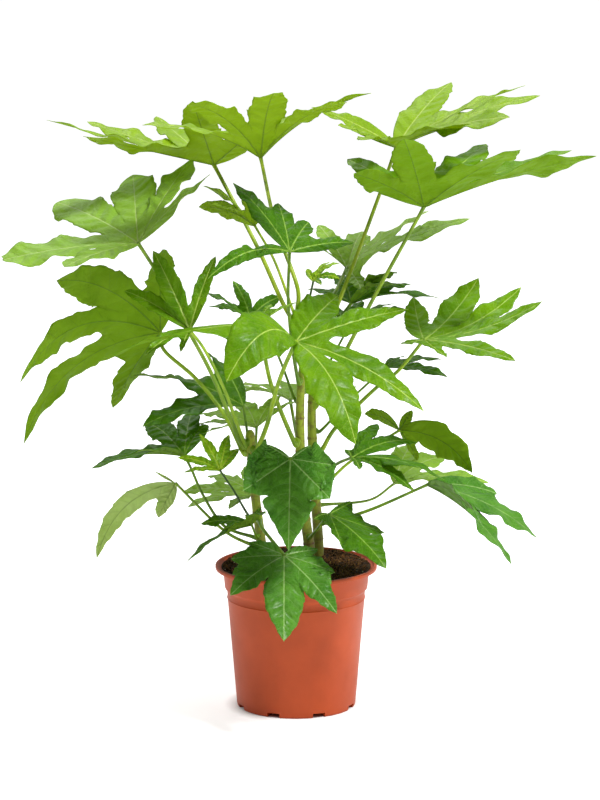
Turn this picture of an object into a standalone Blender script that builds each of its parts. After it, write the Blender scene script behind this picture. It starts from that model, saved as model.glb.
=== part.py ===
"""Potted fatsia: a terracotta-coloured nursery pot, its soil, three stems and their leaves.

Every length is in millimetres in the driving dimensions and in metres in the mesh. +X is the
right side, -Y the front and +Z up. The pot stands on the floor at z = 0, its axis on Z."""

import math

import bmesh
import bpy
import numpy as np
from mathutils import Vector

MM = 0.001
GAP = 0.3

# Pot: radius and height of each corner of its wall
RIM_RADIUS = 105.0
RIM_TOP = 187.0
POT_STEPS = 40
POT_OUTSIDE = (
    (101.5, RIM_TOP), (104.0, RIM_TOP), (RIM_RADIUS, 186.0), (RIM_RADIUS, 182.5), (104.3, 181.8),
    (96.0, 181.0), (94.8, 178.0), (92.9, 157.0), (90.3, 154.5), (89.6, 152.0), (89.3, 144.5),
    (90.0, 143.5), (89.2, 142.5), (77.5, 3.0), (76.0, 0.0), (62.0, 0.0), (60.0, 6.0),
    (26.0, 6.0), (25.0, 0.0), (0.0, 0.0),
)
POT_INSIDE = (
    (0.0, 2.5), (24.0, 2.5), (27.0, 8.5), (73.0, 8.5), (75.5, 11.0), (87.2, 152.0), (90.5, 156.0),
    (92.5, 181.0), (98.0, 183.5), (101.5, 185.5),
)
NOTCH_COUNT = 8
NOTCH_WIDTH = 17.0
NOTCH_HEIGHT = 6.0
NOTCH_REACH = (57.0, 84.0)

# Soil: its side follows the pot's inner wall
SOIL_SIDE = ((97.2, 184.1), (91.8, 181.6), (91.2, 179.0), (89.8, 156.3), (86.7, 152.0), (74.9, 11.3),
             (72.7, 9.0))
SOIL_TOP = ((0.0, 187.0), (45.0, 186.4), (80.0, 185.6), (95.0, 184.9))
SOIL_BOTTOM = 9.0
SOIL_STEPS = 28
STEM_HOLE_FLOOR = 118.0
STEM_HOLE_TOP = 207.0
STEM_HOLE_SIDES = 16

# Stems: centre line from the soil up, and radius at each point. The tops are rounded buds.
STEMS = {
    "stem_left": (((-44, -20, 178), (-44, -20, 210), (-52, -20, 276), (-57, -20, 335), (-59, -20, 359),
                   (-59, -20, 364), (-59, -20, 368)),
                  (6.4, 6.2, 5.8, 6.2, 6.2, 5.2, 2.4)),
    "stem_centre": (((17, 10, 178), (17, 10, 206), (9, 10, 270), (5, 10, 349), (6, 10, 415),
                     (11, 10, 480), (9, 10, 526), (9, 10, 530), (9, 10, 533)),
                    (7.0, 6.8, 6.3, 6.0, 5.0, 4.0, 3.2, 2.6, 1.2)),
    "stem_right": (((29, 40, 178), (29, 40, 209), (21, 40, 343), (21, 40, 409), (26, 40, 475),
                    (33, 40, 521), (33, 40, 525), (33, 40, 528)),
                   (6.6, 6.4, 6.0, 5.0, 4.0, 3.2, 2.6, 1.2)),
}
STEM_RESOLUTION = 2
STALK_RESOLUTION = 1

BLADE_THICKNESS = 0.8
NOTCH_FADE = 0.12
WEB_STEPS = 1
LOBE_STEPS = 4
SMALL_LOBE_STEPS = 3
SMALL_LEAF = 140
STALK_PAST_BLADE = 2.5
STALK_STRAIGHT = 6.0

# Colours, as linear red, green and blue
POT_COLOUR = (0.46, 0.09, 0.03)
SOIL_BROWN = (0.035, 0.02, 0.012)
BARK_GREEN = (0.22, 0.22, 0.06)
LEAF_GREEN = (0.10, 0.25, 0.02)

# Leaves. at: where the stalk meets the blade. facing: heading, pitch and roll of the middle
# lobe in degrees (heading 0 is the right side, 90 the back). shape: width of a lobe, depth
# of the cuts, width of its neck, and how far a cut may start out along the shorter neighbour.
# peak: where a lobe is widest, as a part of the way from its cut to its tip.
# lobes: turn from the middle lobe, reach as a part of length, rise, and where it has its own,
# arch and breadth. stalk: stem, height on it, points on the way, radius at stem and at blade.
# fold: how steeply the halves of its lobes rise from the rib.
LOBE_SHAPE = (0.18, 0.34, 0.09, 0.62)
LOBE_PEAK = 0.5
LOBE_ARCH = 0.08
OPEN_TURN = 68.0
LEAVES = (
    dict(name="leaf_top_left", at=(-107, 100, 696), facing=(180, 10, 10), length=220, arch=0.0,
         lobes=((-114, 0.42, 36), (-61, 0.87, 18), (-34, 0.98, 9), (1, 1.02, 5), (38, 0.97, 0),
                (76, 0.8, 22), (114, 0.6, 24)),
         stalk=("stem_centre", 493, ((-18, 40, 525), (-52, 62, 597)), 3.0, 2.4)),
    dict(name="leaf_top_centre", at=(-44, -85, 727), facing=(-88, 10, 5), length=185,
         shape=(0.19, 0.32, 0.09, 0.6), peak=0.6,
         lobes=((-140, 0.65, 42), (-74, 0.85, 19), (-30, 0.97, 21), (6, 1.0, 21), (38, 0.97, 16),
                (77, 0.87, 24), (148, 0.65, 29)),
         stalk=("stem_centre", 519, ((1, 18, 550), (-27, 40, 627)), 2.8, 2.2)),
    dict(name="leaf_top_right", at=(129, 70, 722), facing=(-5, 8, 10), length=200, arch=0.04,
         lobes=((-141, 0.5, 33), (-106, 0.66, 22), (-50, 0.87, 18), (-34, 0.97, 15), (-1, 0.99, 13),
                (28, 0.99, 10), (64, 0.86, 12), (169, 0.61, 31)),
         stalk=("stem_right", 482, ((70, 50, 562), (111, 64, 671)), 2.8, 2.2)),
    dict(name="leaf_right_upper", at=(161, -60, 662), facing=(-15, 0, -18), length=230, arch=0.03,
         lobes=((-113, 0.66, 5), (-86, 0.86, 14), (-46, 0.96, 12), (-2, 0.99, 18), (36, 0.97, 27),
                (76, 0.87, 35), (151, 0.68, 27)),
         stalk=("stem_right", 396, ((98, -20, 538),), 2.8, 2.2)),
    dict(name="leaf_left_upper", at=(-199, -60, 616), facing=(125, 5, -20), length=190,
         shape=(0.27, 0.32, 0.1, 0.6), peak=0.64, arch=0.03,
         lobes=((-107, 0.66, 26), (-64, 0.86, 14), (-33, 0.97, 6), (0, 1.0, 5), (42, 0.97, 2),
                (67, 0.91, 11), (102, 0.67, 13)),
         stalk=("stem_left", 352, ((-107, -34, 442), (-141, -43, 509), (-174, -53, 574)), 2.8, 2.2)),
    dict(name="leaf_left_broad", at=(-176, 40, 485), facing=(-145, 10, 60), length=240,
         shape=(0.17, 0.32, 0.08, 0.6), arch=0.1,
         lobes=((-97, 0.69, 15, 0.04, 1.05), (-53, 0.95, -5, 0.16, 0.9), (-12, 0.99, -17, 0.18, 0.8),
                (22, 0.96, -8, 0.1, 1.0), (68, 0.55, 4, 0.06, 1.5)),
         stalk=("stem_left", 339, ((-92, -2, 384), (-129, 16, 428), (-170, 32, 462)), 2.9, 2.3)),
    dict(name="leaf_left_glossy", at=(-133, -105, 512), facing=(160, 15, -40), length=125,
         shape=(0.115, 0.26, 0.06, 0.66), fold=0.55,
         lobes=((-84, 0.84, 16, 0.05), (-41, 0.95, 16, 0.03, 1.35), (-18, 0.94, -8, 0.05),
                (70, 0.62, 15), (102, 0.37, 15)),
         stalk=("stem_left", 355, ((-92, -59, 430), (-115, -88, 484)), 2.4, 1.8)),
    dict(name="leaf_left_reaching", at=(-46, -132, 524), facing=(196, -20, 30), length=225,
         shape=(0.1, 0.3, 0.06, 0.66), arch=0.06,
         lobes=((-164, 0.28, 11), (-132, 0.25, 30), (-82, 0.24, 30), (8, 0.96, 7, 0.06, 1.15),
                (35, 0.41, -36)),
         stalk=("stem_centre", 349, ((-31, -34, 427), (-42, -105, 497)), 3.0, 2.4)),
    dict(name="leaf_front_large", at=(0, -150, 505), facing=(-45, -50, 15), length=175,
         shape=(0.21, 0.25, 0.05, 0.5), peak=0.42, arch=0.04,
         lobes=((-76, 0.78, 10, 0.3, 1.5), (-6, 0.97, 12, 0.14, 1.2), (33, 1.04, 9, 0.08, 0.8),
                (85, 0.89, 10, 0.03, 0.95), (117, 0.68, -12, 0.05, 1.4)),
         stalk=("stem_left", 344, ((-37, -51, 381), (-24, -94, 437), (-12, -125, 475)), 3.2, 2.6)),
    dict(name="leaf_crown", at=(-8, -95, 610), facing=(145, 55, -15), length=130,
         lobes=((-104, 0.69, 13, 0.05, 0.9), (-63, 0.58, -12, 0.08, 1.25), (-34, 0.74, -20, 0.05, 1.25),
                (-3, 0.98, -18, 0.05, 1.05), (78, 0.5, -2, 0.1, 0.7), (87, 0.94, -10, 0.16, 0.55)),
         stalk=("stem_centre", 428, ((-5, -19, 479), (-10, -56, 543)), 2.4, 1.8)),
    dict(name="leaf_crown_back", at=(-53, 40, 624), facing=(182, 10, 20), length=100,
         lobes=((-38, 0.97, 15), (-27, 0.95, 31), (39, 0.85, 4), (76, 0.86, 15)),
         stalk=("stem_centre", 509, ((-27, 12, 581),), 2.0, 1.5)),
    dict(name="leaf_back_right", at=(67, 150, 553), facing=(0, 0, 0), length=165, arch=0.04,
         lobes=((-155, 0.34, 35), (-74, 0.43, -16), (-42, 0.97, 24), (0, 1.06, 22), (41, 0.97, 23),
                (81, 0.86, 12), (112, 0.66, 24)),
         stalk=("stem_right", 514, ((51, 91, 530),), 2.4, 2.2)),
    dict(name="leaf_right_inner", at=(72, 85, 516), facing=(20, 5, 0), length=125,
         lobes=((-76, 0.86, 20), (-75, 0.95, 26), (-1, 0.99, -5), (13, 0.77, 5), (76, 0.86, 10),
                (114, 0.66, 8)),
         stalk=("stem_right", 459, ((51, 65, 491),), 2.2, 2.0)),
    dict(name="leaf_right_bright", at=(164, -10, 484), facing=(-7, -12, 15), length=170,
         shape=(0.17, 0.28, 0.07, 0.6), arch=-0.06,
         lobes=((-118, 0.32, 10, 0, 0.8), (-60, 0.42, 10, 0, 0.8), (-37, 0.94, 16, 0.03, 0.7),
                (4, 0.95, 32, -0.06, 0.95), (48, 0.96, 18, -0.08, 0.95), (70, 0.84, 18, -0.06, 1.25),
                (106, 0.66, 3, -0.06, 1.15)),
         stalk=("stem_right", 331, ((52, 30, 362), (102, 12, 416), (132, 2, 442)), 2.8, 2.0)),
    dict(name="leaf_behind_front", at=(116, 60, 435), facing=(-10, -5, 0), length=85,
         lobes=((-14, 1.03, 1), (25, 0.9, 10), (70, 0.6, 10)),
         stalk=("stem_right", 356, ((70, 50, 394),), 1.8, 1.3)),
    dict(name="leaf_right_low_pale", at=(135, 50, 354), facing=(-25, -25, -60), length=105,
         shape=(0.24, 0.42, 0.14, 0.66),
         lobes=((-80, 0.34, 20, 0.0, 1.0), (0, 1.08, 0, 0.14, 1.15), (40, 0.45, -5, 0.05, 0.8),
                (160, 0.61, 10, 0.1, 0.9)),
         stalk=("stem_right", 283, ((70, 44, 313), (120, 48, 345)), 2.2, 1.6)),
    dict(name="leaf_right_dark", at=(71, -60, 340), facing=(-30, -35, -10), length=135,
         shape=(0.2, 0.34, 0.1, 0.6),
         lobes=((-46, 0.28, 6), (-14, 0.77, 16, 0.08, 0.72), (-5, 0.99, 28, 0.08, 0.82),
                (80, 0.95, 17, 0.08, 0.62), (107, 0.56, 30, 0.08, 0.9), (128, 0.25, -9)),
         stalk=("stem_right", 296, ((53, -21, 324),), 2.4, 1.8)),
    dict(name="leaf_right_drooping", at=(169, -15, 295), facing=(-50, -55, -20), length=160,
         shape=(0.18, 0.42, 0.12, 0.7), arch=0.06,
         lobes=((-34, 0.97, 34, 0.1, 0.8), (1, 1.0, 24, 0.08, 1.1), (38, 0.99, 27, 0.08, 1.15),
                (77, 0.75, 15, 0.05, 0.9)),
         stalk=("stem_right", 234, ((95, 15, 255),), 2.4, 1.8)),
    dict(name="leaf_right_back_low", at=(129, 90, 274), facing=(0, -10, 0), length=130,
         lobes=((-63, 0.4, 5), (2, 0.97, 10), (55, 0.96, 13), (79, 0.86, 18)),
         stalk=("stem_right", 256, ((96, 72, 256),), 2.0, 1.5)),
    dict(name="leaf_front_right_low", at=(42, -90, 273), facing=(-30, -35, 5), length=105,
         shape=(0.1, 0.62, 0.27, 0.8),
         lobes=((-95, 0.3, 0), (-36, 0.61, 0, 0.03), (-10, 1.06, 5, 0.06, 1.05), (36, 0.73, 5, 0.0),
                (92, 0.55, 0, 0.0)),
         stalk=("stem_centre", 223, (), 2.2, 1.6)),
    dict(name="leaf_front_dark", at=(-7, -150, 357), facing=(-92, -60, 0), length=117,
         shape=(0.06, 0.62, 0.3, 0.88), fold=0.2,
         lobes=((-120, 0.3, 6, 0.0, 1.9), (-90, 0.45, 6, 0.0, 1.6), (-68, 0.53, 6, 0.0, 1.4),
                (-52, 0.63, 6, 0.0, 1.1), (0, 1.03, 0, 0.05), (43, 0.64, 6, 0.0, 1.1),
                (62, 0.54, 6, 0.0, 1.2), (80, 0.51, 6, 0.0, 1.5), (124, 0.26, 6, 0.0, 1.9)),
         stalk=("stem_centre", 254, (), 2.6, 2.0)),
    dict(name="leaf_over_rim", at=(-15, -110, 224), facing=(-90, -40, 0), length=125,
         shape=(0.25, 0.36, 0.18, 0.66),
         lobes=((-122, 0.43, -10, 0.02), (-89, 0.54, -5, 0.02), (-67, 0.57, -3, 0.02, 0.9),
                (-47, 0.74, 0, 0.05, 0.85), (0, 1.07, 0, 0.05, 0.88), (36, 0.9, 0, 0.05, 0.68),
                (56, 0.58, -5, 0.02, 0.9), (74, 0.54, -10, 0.02), (110, 0.37, -10, 0.02)),
         stalk=("stem_left", 250, ((-42, -60, 246),), 2.4, 2.1)),
    dict(name="leaf_left_low_front", at=(-57, -50, 250), facing=(215, -25, 15), length=105,
         lobes=((-159, 0.32, 16), (-56, 0.68, 22), (0, 1.0, 5), (18, 0.51, 22), (76, 0.86, 15)),
         stalk=("stem_left", 230, (), 1.8, 1.3)),
    dict(name="leaf_left_drooping", at=(-155, -20, 298), facing=(180, -44, 75), length=140,
         shape=(0.13, 0.3, 0.08, 0.66),
         lobes=((-20, 0.37, 0, 0.02, 1.8), (0, 1.02, 0, 0.18, 0.9), (75, 0.22, 10, 0.0, 0.5)),
         stalk=("stem_left", 217, ((-96, -20, 238),), 2.2, 1.6)),
    dict(name="leaf_left_dark", at=(-145, 20, 326), facing=(150, -20, -8), length=130,
         lobes=((-88, 0.65, 12), (-75, 0.86, 21), (-40, 0.97, 21), (3, 1.0, 11), (43, 0.95, 15),
                (76, 0.86, 20)),
         stalk=("stem_left", 226, ((-94, 12, 235), (-121, 16, 275), (-136, 18, 309)), 2.2, 1.6)),
    dict(name="leaf_young_left", at=(-97, -50, 321), facing=(125, 25, -17), length=62,
         shape=(0.15, 0.3, 0.08, 0.6), peak=0.45,
         lobes=((-58, 0.84, -4), (-42, 0.97, 10), (-4, 1.0, 15), (39, 0.95, 5), (84, 0.85, 18)),
         stalk=("stem_left", 256, ((-80, -37, 292),), 1.6, 1.2)),
    dict(name="leaf_left_middle", at=(-69, 60, 384), facing=(180, -5, 50), length=150,
         shape=(0.2, 0.42, 0.12, 0.66),
         lobes=((-2, 0.77, 65), (8, 1.0, 20), (17, 0.97, -21)),
         stalk=("stem_left", 322, ((-64, 27, 359),), 2.0, 1.5)),
    dict(name="leaf_back_left", at=(-60, 70, 499), facing=(130, 15, 0), length=75,
         lobes=((-76, 0.86, 15), (-8, 0.83, 29), (16, 0.76, -3), (38, 0.97, 15), (76, 0.86, 15)),
         stalk=("stem_centre", 402, ((-27, 45, 461),), 1.8, 1.3)),
    dict(name="leaf_young_centre", at=(22, 12, 556), facing=(-10, 20, 20), length=44,
         lobes=((-60, 0.6, 5, 0.15), (-26, 0.95, 0, 0.15), (12, 0.95, 12, 0.15), (46, 0.85, 10, 0.15),
                (108, 0.7, 10, 0.1)),
         stalk=("stem_centre", 523, ((17, 13, 531),), 1.6, 1.2)),
    dict(name="leaf_back_centre", at=(-8, 120, 381), facing=(90, -10, 0), length=110,
         lobes=((-110, 0.66, 10), (-75, 0.86, 10), (-38, 0.97, 10), (0, 1.0, 10), (38, 0.97, 10),
                (75, 0.86, 10), (110, 0.66, 10)),
         stalk=("stem_centre", 330, (), 2.2, 2.0)),
    dict(name="leaf_back_pale", at=(-52, 75, 353), facing=(135, -10, -10), length=105,
         lobes=((-105, 0.66, 12), (-70, 0.86, 12), (-35, 0.97, 12), (0, 1.0, 12), (38, 0.97, 12),
                (80, 0.8, 12)),
         stalk=("stem_left", 300, (), 2.2, 1.6)),
    dict(name="leaf_back_low", at=(-54, 85, 259), facing=(165, -10, -10), length=100,
         lobes=((-105, 0.66, 10), (-70, 0.86, 10), (-35, 0.97, 10), (0, 1.0, 10), (38, 0.97, 10),
                (80, 0.8, 10)),
         stalk=("stem_left", 235, (), 2.0, 1.5)),
    dict(name="leaf_back_inner", at=(70, 90, 486), facing=(40, 0, 0), length=80,
         lobes=((-105, 0.66, 15), (-70, 0.86, 15), (-35, 0.97, 15), (0, 1.0, 15), (38, 0.97, 15),
                (80, 0.8, 15)),
         stalk=("stem_right", 420, (), 1.8, 1.3)),
)


def unit(vector):
    return vector / np.maximum(np.linalg.norm(vector, axis=-1, keepdims=True), 1e-12)


def leaf_axes(heading, pitch, roll):
    """Forward, left and up of a leaf from its heading, pitch and roll."""
    h, p, r = np.radians((heading, pitch, roll))
    forward = np.array((np.cos(p) * np.cos(h), np.cos(p) * np.sin(h), np.sin(p)))
    level = np.array((-np.sin(h), np.cos(h), 0.0))
    top = np.cross(forward, level)
    left = np.cos(r) * level + np.sin(r) * top
    return forward, left, np.cos(r) * top - np.sin(r) * level


def leaf_ribs(leaf):
    """One rib per lobe: its vector, the side its blade spreads to and the way it bows."""
    forward, left, up = leaf_axes(*leaf["facing"])
    ribs = []
    for lobe in leaf["lobes"]:
        turn, rise = np.radians((lobe[0], lobe[2]))
        flat = np.cos(turn) * forward + np.sin(turn) * left
        along = np.cos(rise) * flat + np.sin(rise) * up
        side = -np.sin(turn) * forward + np.cos(turn) * left
        side = unit(side - (side @ along) * along)
        bow = np.array((0.0, 0.0, 1.0)) + 0.5 * np.cross(along, side)
        bow = bow - (bow @ along) * along
        bow = bow / max(1.0, np.linalg.norm(bow))
        arch = lobe[3] if len(lobe) > 3 else leaf.get("arch", LOBE_ARCH)
        broad = lobe[4] if len(lobe) > 4 else 1.0
        size = lobe[1] * leaf["length"]
        ribs.append(dict(along=along, size=size, side=side, bow=bow * size * arch, turn=lobe[0],
                         broad=broad))
    for i, rib in enumerate(ribs):
        before = ribs[max(i - 1, 0)]["along"]
        after = ribs[min(i + 1, len(ribs) - 1)]["along"]
        spread = after - before
        spread = spread - (spread @ rib["along"]) * rib["along"]
        if np.linalg.norm(spread) > 0.2 and unit(spread) @ rib["side"] > -0.3:
            rib["spread"] = unit(0.6 * rib["side"] + unit(spread))
        else:
            rib["spread"] = rib["side"]
    return ribs


def rib_point(origin, rib, s):
    """Points on a rib, s from 0 at the stalk to 1 at the tip: a straight line that bows."""
    s = np.asarray(s, float)[..., None]
    return origin + rib["along"] * rib["size"] * s + rib["bow"] * 4 * s * (1 - s)


def rib_side(rib, s, hand):
    """Direction across a rib at s, in the blade, to its left (hand 1) or right (hand -1)."""
    s = np.asarray(s, float)[..., None]
    tangent = unit(rib["along"] * rib["size"] + rib["bow"] * 4 * (1 - 2 * s))
    normal = unit(np.cross(tangent, rib["spread"]))
    return unit(np.cross(normal, tangent)) * hand


def lobe_width(t, at_cut, wide, neck, peak):
    """Half width of a lobe from its cut (t 0) to its tip (t 1): the neck tapers as
    (1 - t)^1.3, the body swells as t^p (1 - t)^q with p + q = 2.05 and is widest at the peak,
    and the width of the cut itself fades out over the first NOTCH_FADE of the lobe."""
    p, q = 2.05 * peak, 2.05 * (1 - peak)
    body = t**p * (1 - t) ** q / (peak**p * (1 - peak) ** q)
    fade = np.clip(1 - t / NOTCH_FADE, 0, 1) ** 2
    return neck * (1 - t) ** 1.3 + 0.46 * wide * body + (at_cut - neck) * fade


def half_lobe(origin, ribs, i, j, leaf, steps):
    """Rib points and margin points of lobe i on the side of its neighbour j. A lobe with no near
    neighbour on that side is an oval of its own."""
    wide, cut, neck, share = leaf.get("shape", LOBE_SHAPE)
    rib = ribs[i]
    size = rib["size"]
    wide, neck = wide * rib["broad"] * size, neck * rib["broad"] * size
    start = 0.86 * min(cut * leaf["length"], (share - 0.04) * size) / size
    web_part = np.linspace(0, 1, WEB_STEPS + 1)[:-1]
    t = np.linspace(0, 1, steps + 1)
    s = np.concatenate([web_part * start, start + (1 - start) * t])
    points = rib_point(origin, rib, s)
    hand = 1.0 if j > i else -1.0
    if 0 <= j < len(ribs) and abs(rib["turn"] - ribs[j]["turn"]) < OPEN_TURN:
        other = ribs[j]
        reach = min(cut * leaf["length"], share * min(size, other["size"]))
        along = np.concatenate([web_part, [1.0]]) * reach
        web = (rib_point(origin, rib, along / size) + rib_point(origin, other, along / other["size"])) / 2
        foot = (web[-1] - origin) @ rib["along"] / size
        across = web[-1] - rib_point(origin, rib, foot)
        at_cut = np.linalg.norm(across)
        s_edge = foot + (1 - foot) * t
        blend = np.clip(1 - t / 0.35, 0, 1)[:, None]
        side = unit(rib_side(rib, s_edge, hand) * (1 - blend) + across / at_cut * blend)
        width = lobe_width(t, at_cut, wide, neck, leaf.get("peak", LOBE_PEAK))
        edge = rib_point(origin, rib, s_edge) + side * width[:, None]
        return points, np.concatenate([web[:-1], edge])
    width = wide * 1.15 * s**0.75 * (1 - s) ** 0.85 / 0.4858
    return points, points + rib_side(rib, s, hand) * width[:, None]


def new_collection(name):
    collection = bpy.data.collections.new(name)
    bpy.context.scene.collection.children.link(collection)
    return collection


def new_material(name, colour, roughness):
    material = bpy.data.materials.new(name)
    material.use_nodes = True
    shader = material.node_tree.nodes["Principled BSDF"]
    shader.inputs["Base Color"].default_value = (*colour, 1.0)
    shader.inputs["Roughness"].default_value = roughness
    shader.inputs["Metallic"].default_value = 0.0
    return material


def mesh_object(name, verts, faces, collection):
    mesh = bpy.data.meshes.new(name)
    mesh.from_pydata([tuple(v) for v in verts], [], faces)
    mesh.update()
    item = bpy.data.objects.new(name, mesh)
    collection.objects.link(item)
    return item


def weld(item, distance=0.00005):
    """Merge doubled points and turn every face outward."""
    work = bmesh.new()
    work.from_mesh(item.data)
    bmesh.ops.remove_doubles(work, verts=work.verts, dist=distance)
    bmesh.ops.recalc_face_normals(work, faces=work.faces)
    work.to_mesh(item.data)
    work.free()


def drop_fins(item):
    """Remove pairs of faces that lie back to back on the same corners."""
    work = bmesh.new()
    work.from_mesh(item.data)
    bmesh.ops.triangulate(work, faces=work.faces)
    by_corners = {}
    for face in work.faces:
        by_corners.setdefault(frozenset(v.index for v in face.verts), []).append(face)
    fins = [face for pair in by_corners.values() if len(pair) > 1 for face in pair]
    bmesh.ops.delete(work, geom=fins, context="FACES")
    work.to_mesh(item.data)
    work.free()


def apply_modifiers(item):
    """Bake the modifiers of an item into its mesh."""
    graph = bpy.context.evaluated_depsgraph_get()
    baked = bpy.data.meshes.new_from_object(item.evaluated_get(graph))
    item.modifiers.clear()
    item.data = baked


def turned(name, profile, steps, collection):
    """Solid turned about Z from a closed or axis-to-axis profile at +X."""
    verts = [(r * MM, 0.0, z * MM) for r, z in profile]
    edges = [(i, i + 1) for i in range(len(verts) - 1)]
    if profile[0][0] > 0 or profile[-1][0] > 0:
        edges.append((len(verts) - 1, 0))
    mesh = bpy.data.meshes.new(name)
    mesh.from_pydata(verts, edges, [])
    item = bpy.data.objects.new(name, mesh)
    collection.objects.link(item)
    screw = item.modifiers.new("turn", "SCREW")
    screw.axis = "Z"
    screw.angle = math.tau
    screw.steps = steps
    screw.render_steps = steps
    screw.use_merge_vertices = True
    screw.merge_threshold = 0.00005
    apply_modifiers(item)
    weld(item)
    return item


def tube(name, path, radii, resolution, collection):
    """Round tube along points, with a radius of its own at each and flat closed ends."""
    curve = bpy.data.curves.new(name, "CURVE")
    curve.dimensions = "3D"
    curve.bevel_depth = MM
    curve.bevel_resolution = resolution
    curve.use_fill_caps = True
    spline = curve.splines.new("POLY")
    spline.points.add(len(path) - 1)
    for point, place, radius in zip(spline.points, path, radii):
        point.co = (*(Vector(place) * MM), 1.0)
        point.radius = radius
    bent = bpy.data.objects.new(name + "_path", curve)
    collection.objects.link(bent)
    graph = bpy.context.evaluated_depsgraph_get()
    mesh = bpy.data.meshes.new_from_object(bent.evaluated_get(graph))
    item = bpy.data.objects.new(name, mesh)
    item.matrix_world = bent.matrix_world
    collection.objects.link(item)
    bpy.data.objects.remove(bent)
    weld(item)
    return item


def combine(item, other, operation, solver="EXACT"):
    """Cut another item from this one or join it on, then remove the other."""
    tools = bpy.data.collections["cutters"]
    for place in list(other.users_collection):
        place.objects.unlink(other)
    tools.objects.link(other)
    other.hide_render = True
    other.display_type = "WIRE"
    step = item.modifiers.new(operation.lower(), "BOOLEAN")
    step.object = other
    step.operation = operation
    step.solver = solver
    if solver == "EXACT":
        step.use_self = True
    apply_modifiers(item)
    bpy.data.objects.remove(other)


def smooth_path(points, parts):
    """Points of a smooth curve through the given ones, parts of them to each span."""
    points = [np.array(p, float) for p in points]
    points = [2 * points[0] - points[1]] + points + [2 * points[-1] - points[-2]]
    path = []
    for a, b, c, d in zip(points, points[1:], points[2:], points[3:]):
        for k in range(parts):
            t = k / parts
            path.append(0.5 * (2 * b + (c - a) * t + (2 * a - 5 * b + 4 * c - d) * t**2
                               + (3 * b - a - 3 * c + d) * t**3))
    path.append(points[-2])
    return path


def stem_place(stem, height):
    """Centre and radius of a stem at a height."""
    line, radii = STEMS[stem]
    heights = [p[2] for p in line]
    centre = np.array([np.interp(height, heights, [p[k] for p in line]) for k in range(3)])
    return centre, float(np.interp(height, heights, radii))


def stalk_path(leaf):
    """Stalk from just off the stem, square to it, to just past the blade's meeting point. Its
    foot stands two gaps clear of the stem's skin."""
    stem, height, via, foot_radius, top_radius = leaf["stalk"]
    centre, radius = stem_place(stem, height)
    origin = np.array(leaf["at"], float)
    toward = (np.array(via[0], float) if via else origin) - centre
    toward[2] = 0.0
    toward = unit(toward)
    foot = centre + toward * (radius + 2 * GAP)
    straight = foot + toward * STALK_STRAIGHT
    path = smooth_path([straight, *via, origin], 3 if len(via) < 2 else 2)
    last = unit(path[-1] - path[-2])
    path = [foot, *path, origin + last * STALK_PAST_BLADE]
    return path, np.linspace(foot_radius, top_radius, len(path))


def blade_sheet(name, leaf, collection):
    """Thin lobed sheet: each lobe is a strip on either side of its rib, webbed to the next."""
    origin = np.array(leaf["at"], float)
    ribs = leaf_ribs(leaf)
    steps = LOBE_STEPS if leaf["length"] >= SMALL_LEAF else SMALL_LOBE_STEPS
    verts = []
    faces = []
    for i in range(len(ribs)):
        for j in (i - 1, i + 1):
            rib_line, edge_line = half_lobe(origin, ribs, i, j, leaf, steps)
            start = len(verts)
            count = len(rib_line)
            verts.extend((rib_line * MM).tolist() + (edge_line * MM).tolist())
            for k in range(count - 1):
                a, b = start + k, start + k + 1
                d, c = a + count, b + count
                triangles = ((a, b, c), (a, c, d)) if k > 0 else ((a, b, c),)
                if k == count - 2:
                    triangles = ((a, b, d),)
                faces.extend(triangles if j > i else [t[::-1] for t in triangles])
    item = mesh_object(name, verts, faces, collection)
    work = bmesh.new()
    work.from_mesh(item.data)
    bmesh.ops.remove_doubles(work, verts=work.verts, dist=0.00002)
    bmesh.ops.dissolve_degenerate(work, edges=work.edges, dist=0.00002)
    bmesh.ops.triangulate(work, faces=work.faces)
    work.to_mesh(item.data)
    work.free()
    return item


def build_leaf(leaf, collection):
    """One leaf: its thickened blade and its stalk in one solid."""
    item = blade_sheet(leaf["name"], leaf, collection)
    thick = item.modifiers.new("thickness", "SOLIDIFY")
    thick.thickness = BLADE_THICKNESS * MM
    thick.offset = 0.0
    apply_modifiers(item)
    weld(item, 0.00001)
    path, radii = stalk_path(leaf)
    stalk = tube(leaf["name"] + "_stalk", path, radii, STALK_RESOLUTION, collection)
    combine(item, stalk, "UNION", "MANIFOLD")
    drop_fins(item)
    item.data.materials.clear()
    item.data.materials.append(new_material(leaf["name"] + "_skin", LEAF_GREEN, 0.4))


def build_pot(collection):
    """The pot, turned from its wall's outline and cut by the drainage notches round its foot."""
    pot = turned("pot", POT_OUTSIDE + POT_INSIDE, POT_STEPS, collection)
    near, far = NOTCH_REACH
    for k in range(NOTCH_COUNT):
        angle = math.tau * (k + 0.5) / NOTCH_COUNT
        bpy.ops.mesh.primitive_cube_add(size=1.0)
        cutter = bpy.context.object
        cutter.name = "notch_cutter"
        cutter.scale = ((far - near) * MM, NOTCH_WIDTH * MM, 2 * NOTCH_HEIGHT * MM)
        cutter.location = ((near + far) / 2 * MM * math.cos(angle),
                           (near + far) / 2 * MM * math.sin(angle), 0.0)
        cutter.rotation_euler = (0.0, 0.0, angle)
        bpy.context.view_layer.update()
        combine(pot, cutter, "DIFFERENCE")
    weld(pot)
    pot.data.materials.append(new_material("terracotta_plastic", POT_COLOUR, 0.45))


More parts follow.
